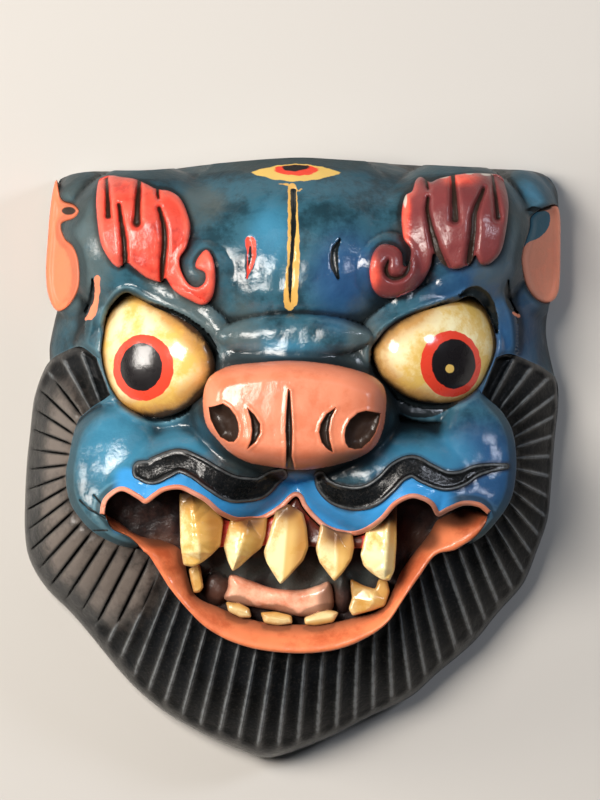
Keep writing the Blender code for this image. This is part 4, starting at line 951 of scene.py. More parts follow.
@functools.lru_cache(maxsize=1)
def form():
    """The outlines that several pieces share."""
    step = cut_of("head")["step"]
    inner = curve_through(BEARD_INNER, step)
    outer = curve_through(BEARD_OUTER, step)
    lip = curve_through(UPPER_LIP, step)
    left, right = nearest(inner, CORNER_LEFT[-1]), nearest(inner, CORNER_RIGHT[-1])
    side_left, side_right = nearest(outer, SKULL_EDGE[-1]), nearest(outer, SKULL_EDGE[0])
    corner_left = curve_through(CORNER_LEFT, step)
    corner_right = curve_through(CORNER_RIGHT, step)
    head = np.vstack([
        moved_aside(lip, LIP_EDGE_WIDTH),
        corner_right[1:-1],
        inner[right:],
        outer[:side_right - 1:-1],
        curve_through(SKULL_EDGE, step)[1:-1],
        outer[side_left::-1],
        inner[:left + 1],
        corner_left[-2:0:-1],
    ])
    lip_outer = np.vstack([corner_left[:-1], inner[left:right + 1], corner_right[-2:0:-1]])
    gum_edge = curve_through(GUM_EDGE, step)
    lower_lip = np.vstack([lip_outer, gum_edge[::-1][:-1]])
    lining = np.vstack([lip, corner_right[1:-1], inner[left:right + 1][::-1], corner_left[:0:-1]])
    behind_teeth = lip[(lip[:, 0] > GUM_LOWER[-1][0] - 1) & (lip[:, 0] < GUM_LOWER[0][0] + 1)]
    gum = np.vstack([moved_aside(behind_teeth, -GUM_BELOW_LIP), curve_through(GUM_LOWER, 1.0)])
    fine_lip = curve_through(UPPER_LIP, cut_of("lip edge")["step"])
    edge = np.vstack([fine_lip, moved_aside(fine_lip, LIP_EDGE_WIDTH)[::-1]])
    return {"head": anticlockwise(without_loops(head)), "lip": lip, "lip outer": lip_outer, "gum edge": gum_edge,
            "lower lip": anticlockwise(lower_lip), "lining": anticlockwise(lining),
            "gum": anticlockwise(gum), "lip edge": anticlockwise(without_loops(edge))}


@functools.lru_cache(maxsize=1)
def raised_pieces():
    """What stands on the head: its outline and how high its top is."""
    pieces = {}
    sizes = mask_sizes()
    for name, points, cuts in BROWS:
        outline = outline_of(points, "brow")
        pieces[name] = (outline, functools.partial(brow_top, outline=outline, cuts=cuts,
                                                   rise=sizes.brow_rise / MM))
    for name, rows in WHISKERS:
        outline = anticlockwise(without_loops(ribbon(rows, cut_of("whisker")["step"])))
        pieces[name] = (outline, functools.partial(whisker_top, outline=outline, rise=sizes.whisker_rise / MM))
    for row in EYES:
        eye = dict(zip(EYE_COLUMNS, row))
        outline = outline_of(eye["outline"], "eye")
        pieces[eye["name"]] = (outline, functools.partial(eye_top, eye=eye, outline=outline))
    outline = outline_of(NOSE, "nose")
    pieces["nose_pad"] = (outline, functools.partial(nose_top, outline=outline))
    for row in EARS:
        ear = dict(zip(EAR_COLUMNS, row))
        outline = outline_of(ear["outline"], "ear")
        pieces[ear["name"]] = (outline, functools.partial(ear_top, ear=ear, outline=outline))
    return pieces


@functools.lru_cache(maxsize=1)
def relief_map():
    """Maps of how far the near and the wide surroundings stand above each spot, and of the slope there."""
    across = np.arange(-MAP_HALF[0], MAP_HALF[0] + 0.5, MAP_STEP)
    up = np.arange(-MAP_HALF[1], MAP_HALF[1] + 0.5, MAP_STEP)
    x, y = np.meshgrid(across, up, indexing="ij")
    points = np.column_stack([x.ravel(), y.ravel()])
    heights = pillow(points)
    shared = form()
    layers = [
        (shared["head"], face_height),
        (shared["lining"], mouth_wall),
        (shared["lower lip"], lambda p: lower_lip_top(p, shared["lip outer"], shared["gum edge"])),
        (shared["gum"], lambda p: np.full(len(p), GUM_TOP_Z)),
        *raised_pieces().values(),
        *((anticlockwise(row[1]), lambda p: np.maximum(mouth_wall(p) + TEETH_OUT, TEETH_LEVEL)) for row in TEETH),
    ]
    for outline, top in layers:
        within = inside(points, outline)
        heights[within] = top(points[within])
    heights = heights.reshape(x.shape)
    along_x, along_y = (np.fft.fftfreq(n) for n in heights.shape)
    maps = []
    for reach in SURROUNDINGS:
        fall = np.exp(-2 * (math.pi * reach / MAP_STEP) ** 2 * (along_x[:, None] ** 2 + along_y[None, :] ** 2))
        even = np.real(np.fft.ifft2(np.fft.fft2(heights) * fall))
        maps.append(even - heights)
        if len(maps) == 1:
            slope = np.hypot(*np.gradient(even, MAP_STEP))
    return [*maps, slope]


def map_value(points, level):
    """The map's value at each point, evened out between its squares."""
    values = relief_map()[level]
    x = np.clip((points[:, 0] + MAP_HALF[0]) / MAP_STEP, 0, values.shape[0] - 1.001)
    y = np.clip((points[:, 1] + MAP_HALF[1]) / MAP_STEP, 0, values.shape[1] - 1.001)
    i, j = x.astype(int), y.astype(int)
    u, v = x - i, y - j
    return ((1 - u) * (1 - v) * values[i, j] + u * (1 - v) * values[i + 1, j]
            + (1 - u) * v * values[i, j + 1] + u * v * values[i + 1, j + 1])


def common_marks(points, outline):
    """What every painted piece's paint reads: the near and the wide relief, the slope, and how far its edge is."""
    edge = edge_gap(points, outline)
    found = {name: np.where(edge < WALL_EDGE, on_wall, map_value(points, level))
             for level, (name, on_wall) in enumerate(WALL_MARKS)}
    found["edge"] = edge
    return found


def shade_cuts(found, more):
    """Cuts count as steep, so that their lacquer coat is thinner there."""
    found["slope"] += more * smooth_step(-found["cut"], *CUT_EDGE)


def put_in_place(piece, node):
    """The piece is shaded smooth, stands for its solid, which it hides, and joins the root body."""
    bpy.ops.object.select_all(action="DESELECT")
    piece.select_set(True)
    bpy.context.view_layer.objects.active = piece
    bpy.ops.object.shade_smooth_by_angle(angle=math.radians(SHARP_DEGREES))
    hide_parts(node)
    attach(piece, "root")


def new_piece(name, verts, faces, paint_names, back_from):
    """A mesh object from points in millimetres. Faces from back_from on take the second paint."""
    mesh = bpy.data.meshes.new(name)
    mesh.from_pydata((np.asarray(verts) * MM).tolist(), [], faces)
    for paint in paint_names:
        mesh.materials.append(paints()[paint])
    index = np.zeros(len(faces), np.int32)
    index[back_from:] = 1
    mesh.polygons.foreach_set("material_index", index)
    piece = bpy.data.objects.new(name, mesh)
    bpy.context.scene.collection.objects.link(piece)
    return piece


def mark(piece, marks):
    """Writes values on the points of a piece for its paint to read. Points that no value is for get the last one."""
    for name, values in marks.items():
        full = np.full(len(piece.data.vertices), values[-1], np.float32)
        full[:len(values)] = values
        attribute = piece.data.attributes.new(name, "FLOAT", "POINT")
        attribute.data.foreach_set("value", full)


def carve(name, node, paint, outline, top, bottom, top_points, marks, bottom_points=None, back=None):
    """A carved block in place of a solid: a worked front, upright sides and a back. The relief is too free for turned
    or cut shapes, so its points are set one by one, as a gouge does it.
    """
    count = len(outline)
    points, fronts = triangles_over(outline, top_points)
    lower = len(points)
    if bottom_points is None:
        low, low_faces = outline, [tuple(range(count))]
    else:
        low, low_faces = triangles_over(outline, bottom_points)
    verts = np.vstack([np.column_stack([points, top(points)]), np.column_stack([low, bottom(low)])])
    sides = [(i, lower + i, lower + (i + 1) % count, (i + 1) % count) for i in range(count)]
    backs = [tuple(lower + i for i in face)[::-1] for face in low_faces]
    piece = new_piece(name, verts, fronts + sides + backs, (paint, back or paint), len(fronts) + count)
    mark(piece, {key: np.concatenate([value, value[:count]]) for key, value in marks(points).items()})
    put_in_place(piece, node)


def plane(x, y, z, rise_x=0.0, rise_y=0.0):
    """The height of a flat, tilted seat that passes through a point."""
    return lambda p: z + (p[:, 0] - x) * rise_x + (p[:, 1] - y) * rise_y


def line_marks(points, lines, tints):
    """For each paint, how far each point is outside its painted lines, below 0 on them."""
    marks = {paint: np.full(len(points), FAR) for paint in tints}
    for paint, _, line in lines:
        near = near_box(points, line, FAR)
        gap, half = distance_to(points[near], curve_through(line, LINE_STEP))
        marks[paint][near] = np.minimum(marks[paint][near], gap - half)
    return marks


def oval_gap(points, x, y, half_x, half_y):
    """About how far each point is outside an oval, below 0 inside it."""
    far = np.hypot((points[:, 0] - x) / half_x, (points[:, 1] - y) / half_y)
    return (far - 1) * min(half_x, half_y)


def almond_gap(points, x, y, half_x, half_y):
    """About how far each point is outside an almond shape with pointed ends."""
    u = np.clip(np.abs(points[:, 0] - x) / half_x, 0, 1)
    return np.abs(points[:, 1] - y) - half_y * (1 - u**1.8) + FAR * (np.abs(points[:, 0] - x) > half_x)


def patch_weight(points, tint):
    """How strongly a tint of the paint shows at each point."""
    return np.max([spot(points, *patch) for patch in PATCHES[tint]], axis=0)


def linear(code):
    """An sRGB hex colour as the linear values that a material takes."""
    values = [int(code[i:i + 2], 16) / 255 for i in (0, 2, 4)]
    return tuple(v / 12.92 if v <= 0.04045 else ((v + 0.055) / 1.055) ** 2.4 for v in values)


def add(tree, kind, inputs=None, out=0, **settings):
    """Adds a node with its settings, feeds its inputs with values or other nodes' outputs, and gives one output."""
    node = tree.nodes.new("ShaderNode" + kind)
    for name, value in settings.items():
        setattr(node, name, value)
    for name, value in (inputs or {}).items():
        if isinstance(value, bpy.types.NodeSocket):
            tree.links.new(value, node.inputs[name])
        else:
            node.inputs[name].default_value = value
    return node.outputs[out] if node.outputs else node


def tone(name):
    """A colour of the mask's paints, from the panel."""
    return (*getattr(bpy.context.scene.dragon_mask_colours, name), 1.0)


def started(name):
    material = bpy.data.materials.new(name)
    material.use_nodes = True
    material.node_tree.nodes.clear()
    return material, material.node_tree


def laid_over(tree, colour, paint, value, low, high, most=1.0):
    """Another tone over a colour, more of it as a value goes from low to high."""
    amount = add(tree, "MapRange", {"Value": value, "From Min": low, "From Max": high, "To Max": most},
                 interpolation_type="SMOOTHSTEP")
    return add(tree, "Mix", {0: amount, 6: colour, 7: tone(paint)}, 2, data_type="RGBA")


def tinted(tree, mark_name, colour, paint, low, high, most=1.0, smear=None):
    """Another tone where a mark is high, broken up where a smear is given."""
    weight = add(tree, "Attribute", out=2, attribute_name=mark_name)
    if smear is not None:
        weight = add(tree, "Math", {0: weight, 1: smear}, operation="MULTIPLY")
    return laid_over(tree, colour, paint, weight, low, high, most)


def wandering(tree, place, mark_name, size, detail, roughness, reach):
    """A mark that goes up and down by up to its reach, as an uneven hand does, in steps of about one size."""
    value = add(tree, "Attribute", out=2, attribute_name=mark_name)
    wave = add(tree, "TexNoise", {"Vector": place, "Scale": 1 / size, "Detail": detail, "Roughness": roughness})
    shift = add(tree, "MapRange", {"Value": wave, "From Min": 0.3, "From Max": 0.7, "To Min": -reach, "To Max": reach})
    return add(tree, "Math", {0: value, 1: shift}, operation="ADD")


def painted_where(tree, place, mark_name, colour, paint, soft=0.22, wander=0.35):
    """Paint laid by hand where a mark is below 0: its edge wanders a little, as a brush does."""
    return laid_over(tree, colour, paint, wandering(tree, place, mark_name, 0.005, 3.0, 0.5, wander), soft, -soft)


def brushed_paint(tree, light, dark, stain, worn, stain_and_shade_most, worn_most):
    """Oil paint in two brushed tones, darkened with grime and painted shade where it lies deep, and rubbed paler
    where it stands proud.
    """
    place = add(tree, "TexCoord", out=3)
    cloud = add(tree, "TexNoise", {"Vector": place, "Scale": 1 / 0.024, "Detail": 7.0, "Roughness": 0.68})
    colour = laid_over(tree, tone(dark), light, cloud, 0.38, 0.6)
    relief = wandering(tree, place, "relief", 0.004, 4.0, 0.6, 0.3)
    # grime and painted shade where the surroundings stand higher
    colour = laid_over(tree, colour, stain, relief, 0.1, 1.4, stain_and_shade_most)
    return place, laid_over(tree, colour, worn, relief, -0.4, -1.5, worn_most)


def lacquered(tree, place, colour, roughness=0.42, coat=0.7, coat_roughness=0.08, bump=0.14, gloss=0.25):
    """Finishes a paint with brush marks, pores of the wood that show through, and a coat of clear lacquer that was
    rubbed off the steep sides.
    """
    slope = add(tree, "Attribute", out=2, attribute_name="slope")
    coated = add(tree, "MapRange", {"Value": slope, "From Min": 0.7, "From Max": 1.8, "To Min": coat, "To Max": 0.05})
    brush = add(tree, "TexNoise", {"Vector": place, "Scale": 1 / 0.006, "Detail": 6.0, "Roughness": 0.62})
    normal = add(tree, "Bump", {"Height": brush, "Strength": 0.75, "Distance": bump * MM * 4})
    patches = add(tree, "TexNoise", {"Vector": place, "Scale": 1 / 0.012, "Detail": 3.0})
    rough = add(tree, "MapRange", {"Value": patches, "From Min": 0.3, "From Max": 0.7,
                                   "To Min": roughness - 0.1, "To Max": roughness + 0.1})
    shader = add(tree, "BsdfPrincipled", {
        "Base Color": colour, "Roughness": rough, "Normal": normal, "Specular IOR Level": gloss,
        "Coat Normal": normal, "Coat Weight": coated, "Coat Roughness": coat_roughness, "Coat IOR": 1.5})
    add(tree, "OutputMaterial", {"Surface": shader})


def blue_lacquer():
    """Oil paint under clear lacquer on carved wood: deep teal, brushed in patches, that gleams on every roll."""
    material, tree = started("blue lacquer on carved wood")
    place, colour = brushed_paint(tree, "blue", "deep_blue", "stain", "worn_blue", 0.8, 0.35)
    # painted shade: navy over the right side
    colour = tinted(tree, "navy", colour, "navy", 0.2, 0.9, 0.75)
    colour = tinted(tree, "bright", colour, "bright_blue", 0.25, 1.0, 0.55)
    smear = add(tree, "TexNoise", {"Vector": place, "Scale": 1 / 0.016, "Detail": 6.0, "Roughness": 0.7})
    colour = tinted(tree, "grey", colour, "grey_blue", 0.12, 0.45, 0.7, smear)
    # grime and painted shade round the raised pieces
    colour = tinted(tree, "halo", colour, "brown_grime_and_shade", 0.35, 1.0, 0.6)
    # painted shade in the wide hollows and on the steep sides
    colour = tinted(tree, "shade", colour, "stain", 0.8, 6.0, 0.75)
    colour = tinted(tree, "slope", colour, "stain", 0.9, 3.0, 0.65)
    colour = tinted(tree, "lip", colour, "lip_blue", 0.1, 0.8, 0.92)
    for name, paint in (("yellow", "tooth_yellow"), ("red", "vermilion"), ("pink", "salmon"), ("dark", "stain"),
                        ("white", "eye_yellow"), ("iris", "iris_red"), ("pupil", "pupil")):
        colour = painted_where(tree, place, name, colour, paint)
    lacquered(tree, place, colour, 0.46, 1.0, 0.05, 0.16, 0.12)
    return material


def charcoal_lacquer(name, edge_wear, coat):
    """Black oil paint on the gouged beard and whiskers, half gloss, with its sharp edges rubbed to a pale grey."""
    material, tree = started(name)
    place, colour = brushed_paint(tree, "charcoal", "black", "black", "charcoal", 0.7, 0.4)
    dust = add(tree, "TexNoise", {"Vector": place, "Scale": 1 / 0.0016, "Detail": 5.0, "Roughness": 0.75})
    specks = add(tree, "MapRange", {"Value": dust, "From Min": 0.52, "From Max": 0.75, "To Max": 0.14})
    colour = add(tree, "Mix", {0: specks, 6: colour, 7: tone("dust")}, 2, data_type="RGBA")
    smear = add(tree, "TexNoise", {"Vector": place, "Scale": 1 / 0.014, "Detail": 6.0, "Roughness": 0.7})
    # painted sheen: the beard's left side lighter, as if lit
    colour = tinted(tree, "sheen", colour, "dust", 0.1, 0.45, 0.75, smear)
    broken = add(tree, "TexNoise", {"Vector": place, "Scale": 1 / 0.005, "Detail": 5.0, "Roughness": 0.7})
    patchy = add(tree, "MapRange", {"Value": broken, "From Min": 0.38, "From Max": 0.6, "To Min": 0.6})
    colour = tinted(tree, "crest", colour, "rib_edge", 0.2, 0.9, edge_wear, patchy)
    # painted shadow: black along the cuts between the round ribs
    colour = tinted(tree, "groove", colour, "black", 0.1, 0.95, 0.97)
    lacquered(tree, place, colour, 0.5, coat, 0.12, 0.2, 0.08)
    return material


def red_lacquer():
    """Vermilion oil paint under lacquer: bright on the proud locks, blackened in the cuts between them."""
    material, tree = started("vermilion lacquer on carved wood")
    place, colour = brushed_paint(tree, "vermilion", "deep_vermilion", "brown_grime_and_shade", "worn_red", 0.8, 0.35)
    # painted shade: maroon over the right brow
    colour = tinted(tree, "maroon", colour, "maroon", 0.2, 0.9, 0.93)
    # painted shade on the gum between and above the teeth
    colour = tinted(tree, "gap", colour, "brown_grime_and_shade", 0.2, 0.6, 0.9)
    colour = tinted(tree, "chip", colour, "primer", 0.45, 0.7)
    colour = painted_where(tree, place, "cut", colour, "brown_grime_and_shade", 0.35, 0.2)
    lacquered(tree, place, colour, 0.36, 0.65, 0.1, 0.2)
    return material


def eye_lacquer():
    """Cream and amber oil paint on the eyeballs, with a red iris and a black pupil, under the glossiest lacquer."""
    material, tree = started("yellow lacquer eyeball")
    place, colour = brushed_paint(tree, "eye_cream", "eye_yellow", "amber", "eye_cream", 0.6, 0.5)
    smear = add(tree, "TexNoise", {"Vector": place, "Scale": 1 / 0.012, "Detail": 5.0, "Roughness": 0.65})
    # amber and grime, partly painted shade, along the edges and strongest towards the nose
    colour = tinted(tree, "amber", colour, "amber", 0.06, 0.32, 0.9, smear)
    colour = tinted(tree, "eye_grime_and_shade", colour, "brown_grime_and_shade", 0.06, 0.34, 0.95, smear)
    for name, paint in (("iris", "iris_red"), ("pupil", "pupil"), ("dot", "eye_yellow")):
        colour = painted_where(tree, place, name, colour, paint, 0.2, 0.3)
    lacquered(tree, place, colour, 0.3, 1.0, 0.04, 0.05)
    return material


def flesh_lacquer(name, light, dark, stain, coat, coat_roughness, stain_and_shade_most, low_y=None):
    """Salmon or orange oil paint under lacquer: soft and fleshy, darkened in its cuts, with painted shade along
    its lower side.
    """
    material, tree = started(name)
    place, colour = brushed_paint(tree, light, dark, stain, light, stain_and_shade_most, 0.3)
    # painted shade: darker towards the lower side
    if low_y is not None:
        up = add(tree, "SeparateXYZ", {"Vector": place}, 1)
        colour = laid_over(tree, colour, stain, up, (low_y + 12) * MM, (low_y - 4) * MM, 0.7)
    # painted shade: the lower lip darker towards the teeth
    colour = tinted(tree, "inward", colour, "mouth_grime_and_shade", 0.4, 1.05, 0.8)
    colour = tinted(tree, "pale", colour, "lip_line", 0.2, 0.9, 0.4)
    colour = tinted(tree, "fold", colour, "blue", 0.4, 0.6)
    # painted shade: the nose's right side darker
    colour = tinted(tree, "deep", colour, "shaded_salmon", 0.2, 1.0, 0.6)
    colour = tinted(tree, "brown", colour, "mouth_grime_and_shade", 0.3, 0.9, 0.75)
    colour = painted_where(tree, place, "cut", colour, "brown_grime_and_shade", 0.3, 0.15)
    lacquered(tree, place, colour, 0.4, coat, coat_roughness, 0.1)
    return material


def tooth_lacquer():
    """Cream oil paint on the teeth, under lacquer: amber at the edges, painted shade on the right faces, and grime
    and painted shade towards the gum.
    """
    material, tree = started("cream and amber lacquer teeth")
    place, colour = brushed_paint(tree, "tooth_cream", "tooth_yellow", "tooth_amber", "tooth_cream", 0.6, 0.6)
    # painted shade: the right faces yellower and amber
    colour = tinted(tree, "right", colour, "tooth_yellow", -0.05, 0.35, 0.85)
    colour = tinted(tree, "right", colour, "tooth_amber", 0.5, 1.6, 0.85)
    rim = wandering(tree, place, "edge", 0.007, 5.0, 0.65, 1.6)
    colour = laid_over(tree, colour, "tooth_amber", rim, 1.6, -0.6, 0.6)
    # grime and painted shade towards the gum
    colour = tinted(tree, "root", colour, "tooth_amber", 17.0, 5.0, 0.8)
    colour = tinted(tree, "root", colour, "mouth_grime_and_shade", 10.0, 4.0, 0.85)
    lacquered(tree, place, colour, 0.32, 0.9, 0.06, 0.06)
    return material


def mouth_paint():
    """Thin black-brown paint at the back of the mouth, dull, with the wood showing through."""
    material, tree = started("black-brown paint in the mouth")
    place, colour = brushed_paint(tree, "mouth_brown", "mouth_black", "mouth_black", "mouth_brown", 0.6, 0.6)
    colour = tinted(tree, "slate", colour, "mouth_slate", 0.3, 0.9, 0.85)
    colour = tinted(tree, "brown", colour, "mouth_grime_and_shade", 0.3, 0.9, 0.5)
    lacquered(tree, place, colour, 0.5, 0.5, 0.2, 0.3)
    return material


def gouged_wood():
    """Light carving wood, hollowed with a gouge and left bare: brown with age and handling, with fine long grain."""
    material, tree = started("bare gouged wood")
    place = add(tree, "TexCoord", out=3)
    drawn = add(tree, "Mapping", {"Vector": place, "Scale": (1.0, 0.12, 0.5)})
    grain = add(tree, "TexNoise", {"Vector": drawn, "Scale": 1 / 0.0028, "Detail": 6.0, "Roughness": 0.6})
    rings = add(tree, "TexNoise", {"Vector": drawn, "Scale": 1 / 0.02, "Detail": 3.0, "Distortion": 0.6})
    streak = add(tree, "MapRange", {"Value": grain, "From Min": 0.35, "From Max": 0.68})
    colour = add(tree, "Mix", {0: streak, 6: tone("wood"), 7: tone("old_wood")}, 2, data_type="RGBA")
    band = add(tree, "MapRange", {"Value": rings, "From Min": 0.4, "From Max": 0.62, "To Max": 0.5})
    colour = add(tree, "Mix", {0: band, 6: colour, 7: tone("old_wood")}, 2, data_type="RGBA")
    scallops = add(tree, "TexVoronoi", {"Vector": place, "Scale": 1 / 0.011, "Smoothness": 0.35}, 0,
                   feature="SMOOTH_F1")
    rough_cut = add(tree, "Bump", {"Height": scallops, "Strength": 0.9, "Distance": 0.0022})
    normal = add(tree, "Bump", {"Height": grain, "Strength": 0.5, "Distance": 0.0005, "Normal": rough_cut})
    shader = add(tree, "BsdfPrincipled", {"Base Color": colour, "Roughness": 0.68, "Normal": normal, "IOR": 1.45})
    add(tree, "OutputMaterial", {"Surface": shader})
    return material


def floor_paper():
    """Seamless studio paper: pale, matt and even."""
    material, tree = started("pale studio paper")
    place = add(tree, "TexCoord", out=3)
    fibre = add(tree, "TexNoise", {"Vector": place, "Scale": 60.0, "Detail": 3.0})
    amount = add(tree, "MapRange", {"Value": fibre, "To Max": 0.05})
    colour = add(tree, "Mix", {0: amount, 6: tone("paper"), 7: (0.6, 0.6, 0.6, 1.0)}, 2, data_type="RGBA")
    shader = add(tree, "BsdfPrincipled", {"Base Color": colour, "Roughness": 0.9})
    add(tree, "OutputMaterial", {"Surface": shader})
    return material


@functools.lru_cache(maxsize=1)
def paints():
    """Every finish of the mask, made once."""
    return {
        "blue": blue_lacquer(),
        "beard": charcoal_lacquer("charcoal lacquer on the beard", 0.6, 0.8),
        "whisker": charcoal_lacquer("charcoal lacquer on the whiskers", 0.4, 0.9),
        "red": red_lacquer(),
        "eye": eye_lacquer(),
        "nose": flesh_lacquer("salmon lacquer nose", "salmon", "salmon_shade", "shaded_salmon", 0.8, 0.07, 0.5, 0.0),
        "ear": flesh_lacquer("orange lacquer ears", "ear_orange", "salmon_shade", "shaded_salmon", 0.25, 0.25, 0.6),
        "lip edge": flesh_lacquer("salmon lacquer lip line", "lip_line", "salmon", "shaded_salmon", 0.6, 0.12, 0.3),
        "lip": flesh_lacquer("orange lacquer lower lip", "lip_orange", "deep_lip", "mouth_grime_and_shade", 0.6, 0.12, 0.5),
        "tongue": flesh_lacquer("pink lacquer tongue", "tongue_pink", "salmon", "mouth_grime_and_shade", 0.8, 0.05, 0.6),
        "tooth": tooth_lacquer(),
        "mouth": mouth_paint(),
        "wood": gouged_wood(),
    }


def colour_property(name, description, code):
    return bpy.props.FloatVectorProperty(name=name.replace("_", " ").capitalize(), description=description,
                                         subtype="COLOR", size=3, default=linear(code), min=0.0, max=1.0)


def length_property(name, description, size, least, most):
    return bpy.props.FloatProperty(name=name, description=description, default=size * MM, min=least * MM,
                                   max=most * MM, unit="LENGTH", precision=4)


class MaskColours(bpy.types.PropertyGroup):
    """The mask's paints."""

    __annotations__ = {row[0]: colour_property(*row) for row in COLOURS}


class MaskSizes(bpy.types.PropertyGroup):
    """The mask's carving."""

    rib_depth: length_property("Rib depth", "How deep the flutes of the beard are", 3.5, 0.0, 6.0)
    brow_rise: length_property("Brow rise", "How far the brows stand off the head", 8.0, 4.0, 10.0)
    whisker_rise: length_property("Whisker rise", "How far the whiskers stand off the head", 2.5, 1.0, 5.0)
    lip_edge_rise: length_property("Lip edge rise", "How far the lip line stands off the head", 1.1, 0.2, 2.0)


def mask_sizes():
    return bpy.context.scene.dragon_mask_sizes


class CarveHead(bpy.types.Operator):
    """Carve the blue head with its lids, rolls, slits and painted lines"""

    bl_idname = "dragon_mask.carve_head"
    bl_label = "Head"
    under_eye = 4.0
    under_ear = 3.0
    sunk_sides = (0.3, -0.3)  # rows of points on both sides of the edge of a sunk seat
    groove_half = 0.9  # the half width of a cut line, and the step along it
    in_almond = 0.6  # how far inside its almond the third eye stays
    halo_reach = 8.0  # how far round a raised piece the paint is darker, with grime and painted shade, and how fast that fades
    halo_fall = 2.2
    lip_below = 20  # only the blue below this height fades at the lip
    lip_band = ((9, 17), (-106, -90), (78, 98))  # where its blue fades: away from the lip, then at both corners

    def execute(self, context):
        outline = form()["head"]
        raised = raised_pieces()
        eyes = [(dict(zip(EYE_COLUMNS, row)), raised[row[0]][0]) for row in EYES]
        ears = [raised[row[0]] for row in EARS]

        def top(points):
            z = face_height(points)
            for eye, eye_outline in eyes:
                within = inside(points, eye_outline)
                z[within] = np.minimum(z[within], eye_dome(points[within], eye) - self.under_eye)
            for ear_outline, ear_height in ears:
                within = inside(points, ear_outline)
                z[within] = np.minimum(z[within], ear_height(points[within]) - self.under_ear)
            return z

        def marks(points):
            found = common_marks(points, outline)
            found.update(line_marks(points, FOREHEAD_LINES, ("yellow", "red", "pink", "dark")))
            for name, x, y, half_x, half_y in THIRD_EYE:
                gap = almond_gap if name == "white" else oval_gap
                found[name] = np.maximum(gap(points, x, y, half_x, half_y),
                                         almond_gap(points, *THIRD_EYE[0][1:]) + self.in_almond * (name != "white"))
            for tint in ("bright", "navy", "grey"):
                found[tint] = patch_weight(points, tint)
            away, left, right = self.lip_band
            gap = distance_to(points, form()["lip"])[0]
            found["lip"] = (1 - smooth_step(gap, *away)) * (points[:, 1] < self.lip_below)
            found["lip"] *= smooth_step(points[:, 0], *left) * (1 - smooth_step(points[:, 0], *right))
            # halo: grime and painted shade round the raised pieces
            near = np.full(len(points), np.inf)
            for piece_outline, _ in raised.values():
                close = near_box(points, piece_outline, self.halo_reach)
                near[close] = np.minimum(near[close], edge_gap(points[close], piece_outline))
            found["halo"] = np.exp(-near / self.halo_fall) * (found["edge"] > WALL_EDGE)
            return found

        features = []
        for sunk_outline in [eye_outline for _, eye_outline in eyes] + [ear_outline for ear_outline, _ in ears]:
            features += [moved_in(sunk_outline, gap) for gap in self.sunk_sides]
        for _, depth, line in FOREHEAD_LINES:
            if depth:
                middle = curve_through(line, self.groove_half)[:, :2]
                features += [middle, moved_aside(middle, self.groove_half), moved_aside(middle, -self.groove_half)]
        carve("head_carving", "face_shell", "blue", outline, top, hollow_height,
              points_over(outline, "head", features), marks, hollow_points(outline), "wood")
        return {"FINISHED"}


